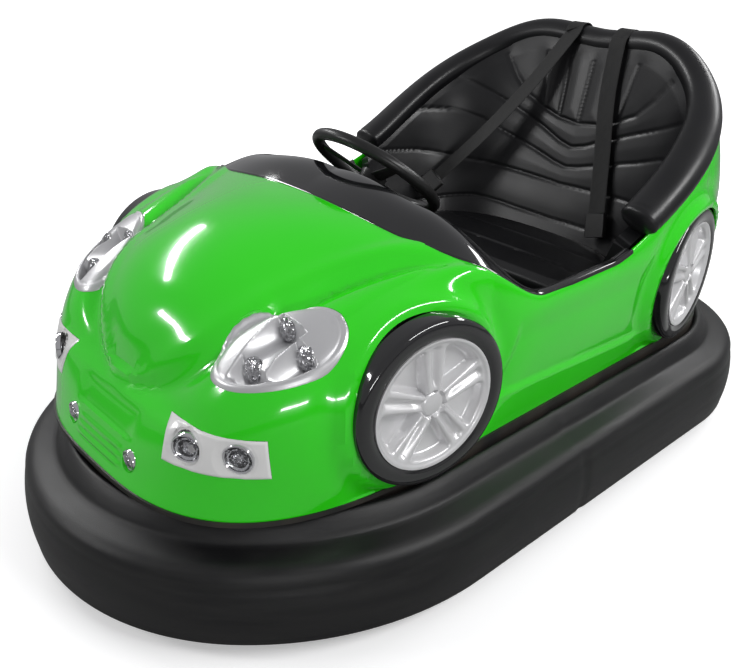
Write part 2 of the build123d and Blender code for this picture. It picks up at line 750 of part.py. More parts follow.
# Steering
tilt = radians(COLUMN_TILT)
column_down = Vector(sin(tilt), 0, -cos(tilt))
wheel_centre = Vector(WHEEL_X, 0, WHEEL_Z)
wheel_plane = Plane(origin=wheel_centre, x_dir=(0, 1, 0), z_dir=-column_down)
BRIDGE_TOP = FLANGE_TOP + BRIDGE_THICK
GEARBOX_TOP = BRIDGE_TOP + GEARBOX_HEIGHT
GEARBOX_X = 448
HUB_RADIUS = 30
HUB_DEPTH = 26
SHAFT_END = (WHEEL_Z - GEARBOX_TOP) / cos(tilt) + 30

with BuildPart() as steering_gearbox:
    with BuildSketch(Plane.XY.offset(BRIDGE_TOP)):
        with Locations((GEARBOX_X, 0)):
            RectangleRounded(GEARBOX_SIZE + 20, GEARBOX_SIZE, 14)
    extrude(amount=GEARBOX_HEIGHT)
    with BuildSketch(Plane.XY.offset(BRIDGE_TOP)):
        with Locations((DRIVE_X, 0)):
            Circle(KINGPIN_RADIUS + RUNNING_FIT)
    extrude(amount=28, mode=Mode.SUBTRACT)
    with BuildSketch(wheel_plane):
        Circle(SHAFT_RADIUS + RUNNING_FIT)
    extrude(amount=-SHAFT_END - 1, mode=Mode.SUBTRACT)
save(steering_gearbox, "steering_gearbox")

with BuildPart() as steering_column:
    with BuildSketch(wheel_plane.offset(-HUB_DEPTH - 12)):
        Circle(COLUMN_RADIUS)
        Circle(SHAFT_RADIUS + RUNNING_FIT, mode=Mode.SUBTRACT)
    extrude(amount=-SHAFT_END)
    split(bisect_by=Plane.XY.offset(GEARBOX_TOP), keep=Keep.TOP)
save(steering_column, "steering_column")

with BuildPart() as steering_wheel:
    with BuildSketch(Plane.XZ):
        with Locations((WHEEL_RIM_RADIUS, 0)):
            Circle(WHEEL_GRIP_RADIUS)
    revolve(axis=Axis.Z)
    with BuildSketch(Plane.XY.offset(-HUB_DEPTH)):
        Circle(HUB_RADIUS)
    extrude(amount=HUB_DEPTH - 6)
    for turn in (90, 210, 330):
        out = Vector(1, 0, 0).rotate(Axis.Z, turn)
        across = Vector(0, 1, 0).rotate(Axis.Z, turn)
        with BuildSketch(Plane(origin=out * (HUB_RADIUS - 8) - Vector(0, 0, 14), x_dir=across, z_dir=out)):
            Ellipse(16, 4)
        with BuildSketch(Plane(origin=out * (WHEEL_RIM_RADIUS - 4), x_dir=across, z_dir=out)):
            Ellipse(11, 4)
        loft()
with BuildPart() as seated_wheel:
    add(wheel_plane.location * steering_wheel.part)
save(seated_wheel, "steering_wheel")

with BuildPart() as steering_shaft:
    with BuildSketch(wheel_plane.offset(-HUB_DEPTH)):
        Circle(SHAFT_RADIUS)
    extrude(amount=-(SHAFT_END - HUB_DEPTH - 4))
save(steering_shaft, "steering_shaft")

# Drive unit
FORK_TOP = 250
LEG_Y = DRIVE_WHEEL_WIDTH / 2 + 8
with BuildPart() as drive_fork:
    with BuildSketch(Plane.XY.offset(FORK_TOP - FORK_PLATE)):
        with Locations((DRIVE_X, 0)):
            Circle(TURNTABLE_RADIUS)
    extrude(amount=FORK_PLATE)
    with BuildSketch(Plane.XY.offset(FORK_TOP)):
        with Locations((DRIVE_X, 0)):
            Circle(KINGPIN_RADIUS)
    extrude(amount=BRIDGE_TOP - FORK_TOP + 24)
    for side in (-1, 1):
        with BuildSketch(Plane.XZ.offset(-side * (LEG_Y + FORK_PLATE / 2) - FORK_PLATE / 2)):
            with BuildLine():
                r = 42
                Polyline((DRIVE_X - 70, FORK_TOP - FORK_PLATE), (DRIVE_X - r, DRIVE_WHEEL_RADIUS))
                ThreePointArc((DRIVE_X - r, DRIVE_WHEEL_RADIUS), (DRIVE_X, DRIVE_WHEEL_RADIUS - r),
                              (DRIVE_X + r, DRIVE_WHEEL_RADIUS))
                Polyline((DRIVE_X + r, DRIVE_WHEEL_RADIUS), (DRIVE_X + 70, FORK_TOP - FORK_PLATE),
                         (DRIVE_X - 70, FORK_TOP - FORK_PLATE))
            make_face()
        extrude(amount=FORK_PLATE)
    with BuildSketch(Plane.XZ.offset(-LEG_Y)):
        with Locations((DRIVE_X, DRIVE_WHEEL_RADIUS)):
            Circle(AXLE_RADIUS)
    extrude(amount=2 * LEG_Y)
save(drive_fork, "drive_fork")

with BuildPart() as drive_motor:
    with BuildSketch(Plane.XZ.offset(-(LEG_Y + FORK_PLATE))):
        with Locations((DRIVE_X, 158)):
            Circle(MOTOR_RADIUS)
    extrude(amount=-MOTOR_LENGTH)
    fillet(drive_motor.edges().group_by(Axis.Y)[-1], 10)
save(drive_motor, "drive_motor")


def wheel_pair(x, y, radius, width, bore, share, tyre_name, hub_name):
    """A rubber tyre and its hub, on an axle along y."""
    core = radius * share
    with BuildPart() as tyre:
        with BuildSketch(Plane.XZ.offset(-y - width / 2)):
            with Locations((x, radius)):
                Circle(radius)
                Circle(core, mode=Mode.SUBTRACT)
        extrude(amount=width)
        fillet(tyre.edges().filter_by(GeomType.CIRCLE).filter_by(lambda e: e.radius > core + 1), 6)
    save(tyre, tyre_name)
    with BuildPart() as hub:
        with BuildSketch(Plane.XZ.offset(-y - width / 2)):
            with Locations((x, radius)):
                Circle(core)
                Circle(bore, mode=Mode.SUBTRACT)
        extrude(amount=width)
        for face in (-y - width / 2, -y + width / 2 - 10):
            with BuildSketch(Plane.XZ.offset(face)):
                with Locations((x, radius)):
                    Circle(core - 7)
                    Circle(bore + 9, mode=Mode.SUBTRACT)
            extrude(amount=10, mode=Mode.SUBTRACT)
    save(hub, hub_name)


wheel_pair(DRIVE_X, 0, DRIVE_WHEEL_RADIUS, DRIVE_WHEEL_WIDTH, AXLE_RADIUS + RUNNING_FIT, RIM_SHARE,
           "drive_tyre", "drive_hub")
for side, name in ((1, "left"), (-1, "right")):
    wheel_pair(REAR_AXLE_X, side * REAR_WHEEL_TRACK, REAR_WHEEL_RADIUS, REAR_TYRE_WIDTH,
               REAR_AXLE_RADIUS + RUNNING_FIT, RIM_SHARE, f"rear_tyre_{name}", f"rear_hub_{name}")

with BuildPart() as rear_axle:
    with BuildSketch(Plane.XZ.offset(-leg_places[1] - 14)):
        with Locations((REAR_AXLE_X, REAR_WHEEL_RADIUS)):
            Circle(REAR_AXLE_RADIUS)
    extrude(amount=2 * (leg_places[1] + 14))
save(rear_axle, "rear_axle")

# Accelerator pedal on the floor
PEDAL_HEEL_X = 150
PEDAL_TOE_X = 215
PEDAL_HEIGHT = 60
PEDAL_PLATE = 8
PEDAL_FOOT = 6
PEDAL_Y = 110
PEDAL_WIDTH = 80
with BuildPart() as accelerator_pedal:
    with BuildSketch(Plane.XZ.offset(PEDAL_Y)):
        with BuildLine():
            Polyline((PEDAL_HEEL_X, FLOOR_TOP), (PEDAL_TOE_X, FLOOR_TOP), (PEDAL_TOE_X, FLOOR_TOP + PEDAL_HEIGHT),
                     (PEDAL_TOE_X - PEDAL_PLATE, FLOOR_TOP + PEDAL_HEIGHT), (PEDAL_HEEL_X + 10, FLOOR_TOP + PEDAL_FOOT),
                     (PEDAL_HEEL_X, FLOOR_TOP + PEDAL_FOOT), close=True)
        make_face()
    extrude(amount=PEDAL_WIDTH)
save(accelerator_pedal, "accelerator_pedal")

# Harness straps, taut from the top of the seat back
STRAP_WIDTH = 45
STRAP_THICK = 3
BUCKLE_LENGTH = 60
BUCKLE_THICK = 16
strap_ends = {
    "right": ((-622, -62, 850), (-372, -292, 520)),
    "left": ((-622, 62, 850), (-500, 165, 500)),
}
for name, (top, foot) in strap_ends.items():
    a, b = Vector(*top), Vector(*foot)
    run = (b - a).normalized()
    across = run.cross(Vector(1, 0, 0)).normalized()
    with BuildPart() as strap:
        with BuildSketch(Plane(origin=a, x_dir=across, z_dir=run)):
            Rectangle(STRAP_WIDTH, STRAP_THICK)
        extrude(amount=(b - a).length)
    save(strap, f"harness_strap_{name}")
    with BuildPart() as buckle:
        with BuildSketch(Plane(origin=b, x_dir=across, z_dir=run)):
            RectangleRounded(STRAP_WIDTH + 14, BUCKLE_THICK, 4)
        extrude(amount=BUCKLE_LENGTH)
    save(buckle, f"harness_buckle_{name}")
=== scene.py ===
"""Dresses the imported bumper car: body, lamps, wheels, upholstery, harness and finishes."""

import logging
from dataclasses import dataclass, field
from enum import Enum
from functools import lru_cache
from math import acos, atan2, cos, degrees, exp, hypot, log, pi, radians, sin, sqrt
from typing import Callable, Iterable, Sequence

import bpy
import numpy as np
from mathutils import Matrix, Vector
from mathutils.bvhtree import BVHTree
from mathutils.kdtree import KDTree


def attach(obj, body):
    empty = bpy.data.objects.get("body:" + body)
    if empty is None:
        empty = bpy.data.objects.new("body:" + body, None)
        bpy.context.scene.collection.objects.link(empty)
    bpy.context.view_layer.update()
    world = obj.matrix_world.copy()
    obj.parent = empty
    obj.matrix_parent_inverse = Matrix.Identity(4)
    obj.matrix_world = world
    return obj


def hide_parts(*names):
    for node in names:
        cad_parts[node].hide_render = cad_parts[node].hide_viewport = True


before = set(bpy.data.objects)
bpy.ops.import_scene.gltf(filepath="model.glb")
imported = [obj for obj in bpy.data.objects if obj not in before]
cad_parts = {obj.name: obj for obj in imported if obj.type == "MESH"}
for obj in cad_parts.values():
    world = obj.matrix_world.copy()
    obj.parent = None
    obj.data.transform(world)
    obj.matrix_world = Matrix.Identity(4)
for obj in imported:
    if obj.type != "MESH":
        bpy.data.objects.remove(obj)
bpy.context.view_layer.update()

LOG = logging.getLogger("bumper_car")
MM = 0.001
ROOT = "car_body"
Point = tuple[float, float, float]
Outline = list[tuple[float, float]]
AHEAD = Vector((1, 0, 0))
LEFTWARD = Vector((0, 1, 0))
UP = Vector((0, 0, 1))
MIRROR = Vector((1, -1, 1))

# Sizes and places that several pieces share, in millimetres and degrees.
FARTHEST = 1950.0
OPENING_GAP = 0.3
ARCH_RADIUS = 165.0
GRILLE_LAMP_AT = Vector((770, 110, 312))
GRILLE_LAMP_RADIUS = 21.0
TAIL_LAMP_RAY = 156.0
TAIL_LAMP_Z = 420.0
TAIL_LAMP_RADIUS = 40.0


class Side(Enum):
    """The two sides of the car, as the sign of y."""

    LEFT = 1
    RIGHT = -1

    @property
    def label(self) -> str:
        """Lower-case name used in node names."""
        return self.name.lower()


def blend(a: float, b: float, t: float) -> float:
    """Value between a and b."""
    return a + (b - a) * t


def ramp(x: float, low: float, high: float) -> float:
    """Smooth step from 0 at low to 1 at high."""
    t = min(1.0, max(0.0, (x - low) / (high - low)))
    return t * t * (3 - 2 * t)


def bell(x: float, width: float) -> float:
    """Bell curve that is 1 at x = 0 and 1/e at the width."""
    return exp(-((x / width) ** 2))


def furthest(inside: Callable[[float], bool], high: float, steps: int) -> float:
    """Largest distance that is still inside, found by halving."""
    low = 0.0
    for _ in range(steps):
        middle = (low + high) / 2
        if inside(middle):
            low = middle
        else:
            high = middle
    return low


def ellipse(a: float, b: float | None = None, turns: int = 96) -> Outline:
    """Points round an ellipse, or round a circle if only one radius is given."""
    b = a if b is None else b
    return [(a * cos(2 * pi * i / turns), b * sin(2 * pi * i / turns)) for i in range(turns)]


@dataclass(frozen=True)
class NodeGraph:
    """A node tree, with short ways to add and link its nodes."""

    tree: bpy.types.NodeTree

    @classmethod
    def of(cls, owner: bpy.types.Material | bpy.types.World) -> "NodeGraph":
        """Turn on a material's or world's nodes and give its tree."""
        owner.use_nodes = True
        return cls(owner.node_tree)

    @staticmethod
    def fill(node: bpy.types.Node, values: dict[str, object]) -> None:
        """Set values on a node's own sockets."""
        for socket, value in values.items():
            node.inputs[socket].default_value = value

    def add(self, kind: str, values: dict[str, object] | None = None, **options: str) -> bpy.types.Node:
        """Add a shader node.

        Args:
            kind: its type, without the common prefix.
            values: values of its input sockets.
            options: its own settings, set before the values.

        Returns:
            The new node.
        """
        node = self.tree.nodes.new(f"ShaderNode{kind}")
        for name, value in options.items():
            setattr(node, name, value)
        self.fill(node, values or {})
        return node

    def link(self, source: bpy.types.Node, output: str, target: bpy.types.Node, socket: str | int) -> None:
        """Link one node's output to another's input."""
        self.tree.links.new(source.outputs[output], target.inputs[socket])


@dataclass(frozen=True)
class Finish:
    """A procedural surface finish: base colour, gloss, grain and wear.

    Args:
        name: Blender material name.
        colour: linear base colour.
        second: colour mixed in by a large noise, for dust, fading or dirt.
        second_amount: how much of it shows, 0 to 1.
        patch_scale: size of that noise, in repeats a metre.
        roughness: middle roughness.
        roughness_spread: how far the noise moves it.
        metallic: metallic share, 0 to 1.
        coat: weight of the clear coat.
        grain_scale: fine bump, in repeats a metre.
        grain_strength: strength of that bump.
        grain_depth: height of that bump, in metres.
        cell_grain: pebbled leather-like bump instead of noise.
        stretch: scale of both noises along x, y and z.
        transmission: clear share, 0 to 1.
        ior: index of refraction.
    """

    name: str
    colour: tuple[float, float, float]
    second: tuple[float, float, float] = (0.5, 0.5, 0.5)
    second_amount: float = 0.0
    patch_scale: float = 6.0
    roughness: float = 0.4
    roughness_spread: float = 0.1
    metallic: float = 0.0
    coat: float = 0.0
    grain_scale: float = 900.0
    grain_strength: float = 0.1
    grain_depth: float = 0.0004
    cell_grain: bool = False
    stretch: tuple[float, float, float] = (1.0, 1.0, 1.0)
    transmission: float = 0.0
    ior: float = 1.45

    def material(self) -> bpy.types.Material:
        """Build the node material, or return it if it exists.

        Returns:
            The Blender material of this finish.
        """
        found = bpy.data.materials.get(self.name)
        if found:
            return found
        made = bpy.data.materials.new(self.name)
        graph = NodeGraph.of(made)
        shader = graph.tree.nodes["Principled BSDF"]
        graph.fill(shader, {"Metallic": self.metallic, "Coat Weight": self.coat, "Coat Roughness": 0.03,
                            "Transmission Weight": self.transmission, "IOR": self.ior})
        place = graph.add("TexCoord")
        squeeze = graph.add("Mapping", {"Scale": self.stretch})
        graph.link(place, "Object", squeeze, "Vector")
        patches = graph.add("TexNoise", {"Scale": self.patch_scale, "Detail": 6})
        graph.link(squeeze, "Vector", patches, "Vector")
        spread = graph.add("MapRange", {"From Min": 0.35, "From Max": 0.75, "To Max": self.second_amount})
        graph.link(patches, "Fac", spread, "Value")
        mix = graph.add("Mix", {"A": (*self.colour, 1), "B": (*self.second, 1)}, data_type="RGBA")
        graph.link(spread, "Result", mix, "Factor")
        graph.link(mix, "Result", shader, "Base Color")
        rough = graph.add("MapRange", {"To Min": max(0.02, self.roughness - self.roughness_spread),
                                       "To Max": self.roughness + self.roughness_spread})
        graph.link(patches, "Fac", rough, "Value")
        graph.link(rough, "Result", shader, "Roughness")
        if self.cell_grain:
            grain, height = graph.add("TexVoronoi", feature="SMOOTH_F1"), "Distance"
        else:
            grain, height = graph.add("TexNoise", {"Detail": 3}), "Fac"
        graph.fill(grain, {"Scale": self.grain_scale})
        graph.link(squeeze, "Vector", grain, "Vector")
        bump = graph.add("Bump", {"Strength": self.grain_strength, "Distance": self.grain_depth})
        graph.link(grain, height, bump, "Height")
        graph.link(bump, "Normal", shader, "Normal")
        return made


GREEN = Finish("gloss_green_gel_coat", (0.018, 0.70, 0.0), (0.028, 0.78, 0.001), 0.5, 3.0, 0.16, 0.03,
               coat=1.0, grain_scale=260, grain_strength=0.012, grain_depth=0.001)
BLACK_GLOSS = Finish("gloss_black_trim", (0.006, 0.006, 0.007), (0.02, 0.02, 0.021), 0.3, 9.0, 0.1, 0.04,
                     coat=1.0, grain_scale=240, grain_strength=0.02, grain_depth=0.001)
SILVER = Finish("satin_silver_lacquer", (0.66, 0.66, 0.67), (0.52, 0.52, 0.54), 0.4, 14.0, 0.36, 0.05,
                metallic=0.6, coat=0.15, grain_scale=3000, grain_strength=0.06, grain_depth=0.0002)
WHITE_SILVER = Finish("pearl_wheel_lacquer", (0.74, 0.74, 0.75), (0.62, 0.61, 0.61), 0.5, 18.0, 0.32, 0.08,
                      metallic=0.35, coat=0.5, grain_scale=3000, grain_strength=0.05, grain_depth=0.0002)
GREY_PANEL = Finish("light_grey_panel", (0.80, 0.80, 0.79), (0.68, 0.68, 0.67), 0.3, 12.0, 0.3, 0.06, coat=0.3)
RUBBER = Finish("dusty_bumper_rubber", (0.003, 0.003, 0.0035), (0.018, 0.0175, 0.017), 0.55, 7.0, 0.42, 0.12,
                grain_scale=420, grain_strength=0.25, grain_depth=0.0012, stretch=(1, 1, 9))
TYRE_RUBBER = Finish("running_tyre_rubber", (0.012, 0.012, 0.012), (0.08, 0.075, 0.07), 0.5, 30.0, 0.7, 0.1,
                     grain_scale=700, grain_strength=0.2)
VINYL = Finish("black_seat_vinyl", (0.006, 0.006, 0.007), (0.014, 0.014, 0.015), 0.5, 8.0, 0.34, 0.07,
               grain_scale=520, grain_strength=0.16, grain_depth=0.0006, cell_grain=True)
WEBBING = Finish("black_harness_webbing", (0.010, 0.010, 0.010), (0.03, 0.03, 0.03), 0.6, 60.0, 0.7, 0.1,
                 grain_scale=900, grain_strength=0.5, grain_depth=0.0008, stretch=(1, 1, 0.35))
PLASTIC = Finish("grained_black_plastic", (0.010, 0.010, 0.010), (0.025, 0.025, 0.025), 0.4, 20.0, 0.34, 0.08,
                 grain_scale=1400, grain_strength=0.12)
CHASSIS = Finish("satin_black_chassis_paint", (0.014, 0.014, 0.014), (0.09, 0.07, 0.05), 0.35, 12.0, 0.45, 0.12,
                 grain_scale=500, grain_strength=0.15)
FLOOR_PLATE = Finish("worn_floor_paint", (0.02, 0.02, 0.02), (0.10, 0.09, 0.08), 0.5, 16.0, 0.5, 0.12,
                     grain_scale=300, grain_strength=0.2)
STEEL = Finish("brushed_steel", (0.42, 0.42, 0.43), (0.25, 0.24, 0.23), 0.5, 30.0, 0.35, 0.1, metallic=1.0,
               grain_scale=900, grain_strength=0.15, stretch=(1, 12, 1))
CASTING = Finish("painted_casting", (0.07, 0.075, 0.08), (0.13, 0.12, 0.11), 0.5, 22.0, 0.5, 0.1,
                 grain_scale=350, grain_strength=0.35, grain_depth=0.001)
BATTERY = Finish("battery_case", (0.03, 0.03, 0.035), (0.07, 0.07, 0.07), 0.4, 25.0, 0.5, 0.1, grain_strength=0.15)
CHROME = Finish("lamp_chrome", (0.80, 0.80, 0.82), (0.6, 0.6, 0.62), 0.4, 40.0, 0.08, 0.04, metallic=1.0,
                grain_scale=500, grain_strength=0.03)
CRYSTAL = Finish("clear_faceted_lens", (0.95, 0.96, 0.97), (0.8, 0.82, 0.85), 0.3, 60.0, 0.04, 0.02,
                 transmission=1.0, ior=1.5, grain_scale=190, grain_strength=0.6, grain_depth=0.002, cell_grain=True)
DIAMOND = Finish("faceted_reflector", (0.62, 0.62, 0.64), (0.10, 0.10, 0.11), 0.9, 160.0, 0.12, 0.06,
                 metallic=1.0, coat=1.0, grain_scale=170, grain_strength=1.0, grain_depth=0.004, cell_grain=True)
RED_LENS = Finish("red_tail_lens", (0.55, 0.01, 0.01), (0.3, 0.0, 0.0), 0.5, 60.0, 0.1, 0.04, coat=1.0,
                  grain_scale=220, grain_strength=0.7, grain_depth=0.002, cell_grain=True)


def finish_object(obj: bpy.types.Object, finish: Finish) -> None:
    """Give an object one finish."""
    obj.data.materials.clear()
    obj.data.materials.append(finish.material())


def make_object(name: str, points: np.ndarray, faces: Iterable[Sequence[int]], finish: Finish,
                sharp: float = 40.0) -> bpy.types.Object:
    """Make a smooth-shaded mesh object from points in millimetres.

    Args:
        name: object name.
        points: array of points, any leading shape, last axis x, y, z.
        faces: vertex indices of each face.
        finish: its finish.
        sharp: edges bent more than this many degrees stay sharp.

    Returns:
        The new object, linked to the scene.
    """
    mesh = bpy.data.meshes.new(name)
    mesh.from_pydata((points.reshape(-1, 3) * MM).tolist(), [], [list(map(int, f)) for f in faces])
    mesh.update()
    obj = bpy.data.objects.new(name, mesh)
    bpy.context.scene.collection.objects.link(obj)
    finish_object(obj, finish)
    shade(obj, sharp)
    return obj


def shade(obj: bpy.types.Object, sharp: float) -> None:
    """Shade smooth, with edges bent more than an angle in degrees kept sharp."""
    obj.data.polygons.foreach_set("use_smooth", [True] * len(obj.data.polygons))
    obj.data.set_sharp_from_angle(angle=radians(sharp))


def grid_faces(n: int, m: int, close: bool, start: int = 0, flip: bool = False) -> list[tuple[int, ...]]:
    """Quads of an n by m grid of points, closed along its first axis if asked."""
    faces = []
    for i in range(n if close else n - 1):
        k = (i + 1) % n
        for j in range(m - 1):
            quad = (start + i * m + j, start + k * m + j, start + k * m + j + 1, start + i * m + j + 1)
            faces.append(quad[::-1] if flip else quad)
    return faces


def sleeve_faces(n: int, m: int, flip: bool = False) -> list[tuple[int, ...]]:
    """Quads between n rings of m points each, closed round every ring."""
    faces = []
    for i in range(n - 1):
        for j in range(m):
            k = (j + 1) % m
            quad = (i * m + j, i * m + k, (i + 1) * m + k, (i + 1) * m + j)
            faces.append((quad[0], *quad[:0:-1]) if flip else quad)
    return faces


def grid_normals(grid: np.ndarray, close: bool) -> np.ndarray:
    """Unit normals of a grid of points, along first axis cross second axis."""
    if close:
        du = np.roll(grid, -1, 0) - np.roll(grid, 1, 0)
    else:
        du = np.gradient(grid, axis=0)
    dv = np.gradient(grid, axis=1)
    n = np.cross(du, dv)
    return n / np.maximum(np.linalg.norm(n, axis=2, keepdims=True), 1e-9)


def thick_grid(name: str, grid: np.ndarray, wall: float, finish: Finish, close: bool = False,
               sharp: float = 40.0) -> bpy.types.Object:
    """Closed solid behind a grid of outer points.

    Args:
        name: object name.
        grid: outer points, n by m by 3, in millimetres.
        wall: thickness, measured against the grid's normals.
        finish: its finish.
        close: True if the first axis runs round and meets itself.
        sharp: edges bent more than this many degrees stay sharp.

    Returns:
        The new object.
    """
    n, m = grid.shape[:2]
    inner = grid - grid_normals(grid, close) * wall
    count = n * m
    faces = grid_faces(n, m, close) + grid_faces(n, m, close, count, True)
    last = n if close else n - 1
    for i in range(last):
        k = (i + 1) % n
        faces.append((i * m, count + i * m, count + k * m, k * m))
        a, b = i * m + m - 1, k * m + m - 1
        faces.append((a, b, count + b, count + a))
    if not close:
        for j in range(m - 1):
            faces.append((j, j + 1, count + j + 1, count + j))
            a = (n - 1) * m + j
            faces.append((a, count + a, count + a + 1, a + 1))
    return make_object(name, np.concatenate([grid.reshape(-1, 3), inner.reshape(-1, 3)]), faces, finish, sharp)


def cut(obj: bpy.types.Object, cutters: list[bpy.types.Object], sharp: float = 32.0) -> None:
    """Subtract cutter objects from an object's mesh, then remove them."""
    for cutter in cutters:
        step = obj.modifiers.new("cut", "BOOLEAN")
        step.operation = "DIFFERENCE"
        step.solver = "MANIFOLD"
        step.object = cutter
    bpy.context.view_layer.update()
    depsgraph = bpy.context.evaluated_depsgraph_get()
    made = bpy.data.meshes.new_from_object(obj.evaluated_get(depsgraph))
    obj.modifiers.clear()
    obj.data = made
    for cutter in cutters:
        bpy.data.objects.remove(cutter)
    shade(obj, sharp)


def seat_on(obj: bpy.types.Object, body: str, *nodes: str, slot: str = "") -> bpy.types.Object:
    """Let an object ride on a body in place of CAD nodes."""
    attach(obj, body)
    if nodes:
        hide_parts(*nodes)
    return obj


@dataclass(frozen=True)
class LocalFrame:
    """A place with its own axes: right, up and out, in millimetres."""

    origin: Vector
    right: Vector
    up: Vector
    out: Vector

    def point(self, x: float, y: float, z: float) -> Vector:
        """Point at local coordinates, in the car's frame."""
        return self.origin + self.right * x + self.up * y + self.out * z

    def polar(self, radius: float, turn: float, height: float) -> Vector:
        """Point at a radius, an angle and a height, in the car's frame."""
        return self.point(radius * cos(turn), radius * sin(turn), height)

    def moved(self, origin: Vector) -> "LocalFrame":
        """The same axes at another place."""
        return LocalFrame(origin, self.right, self.up, self.out)

    def mirrored(self, side: Side) -> "LocalFrame":
        """The same place on the other side, if asked for the right."""
        if side is Side.LEFT:
            return self
        return LocalFrame(*(v * MIRROR for v in (self.origin, self.right, self.up, self.out)))

    def lathe(self, name: str, profile: Sequence[tuple[float, float]], finish: Finish, turns: int = 64,
              sharp: float = 40.0, close: bool = False) -> bpy.types.Object:
        """Turn a profile of (radius, depth) pairs about the out axis.

        Args:
            name: object name.
            profile: radius and height along out, in order.
            finish: its finish.
            turns: points round.
            sharp: edges bent more than this stay sharp.
            close: True joins the profile's end to its start.

        Returns:
            The new object.
        """
        rows = list(profile) + ([profile[0]] if close else [])
        points = [[self.polar(r, 2 * pi * i / turns, h) for r, h in rows] for i in range(turns)]
        flip = self.right.cross(self.up).dot(self.out) < 0
        faces = grid_faces(turns, len(rows), True, 0, not flip)
        return make_object(name, np.array(points, float), faces, finish, sharp)


def facing_ahead(origin: Vector) -> LocalFrame:
    """Frame that faces straight ahead."""
    return LocalFrame(origin, LEFTWARD, UP, AHEAD)


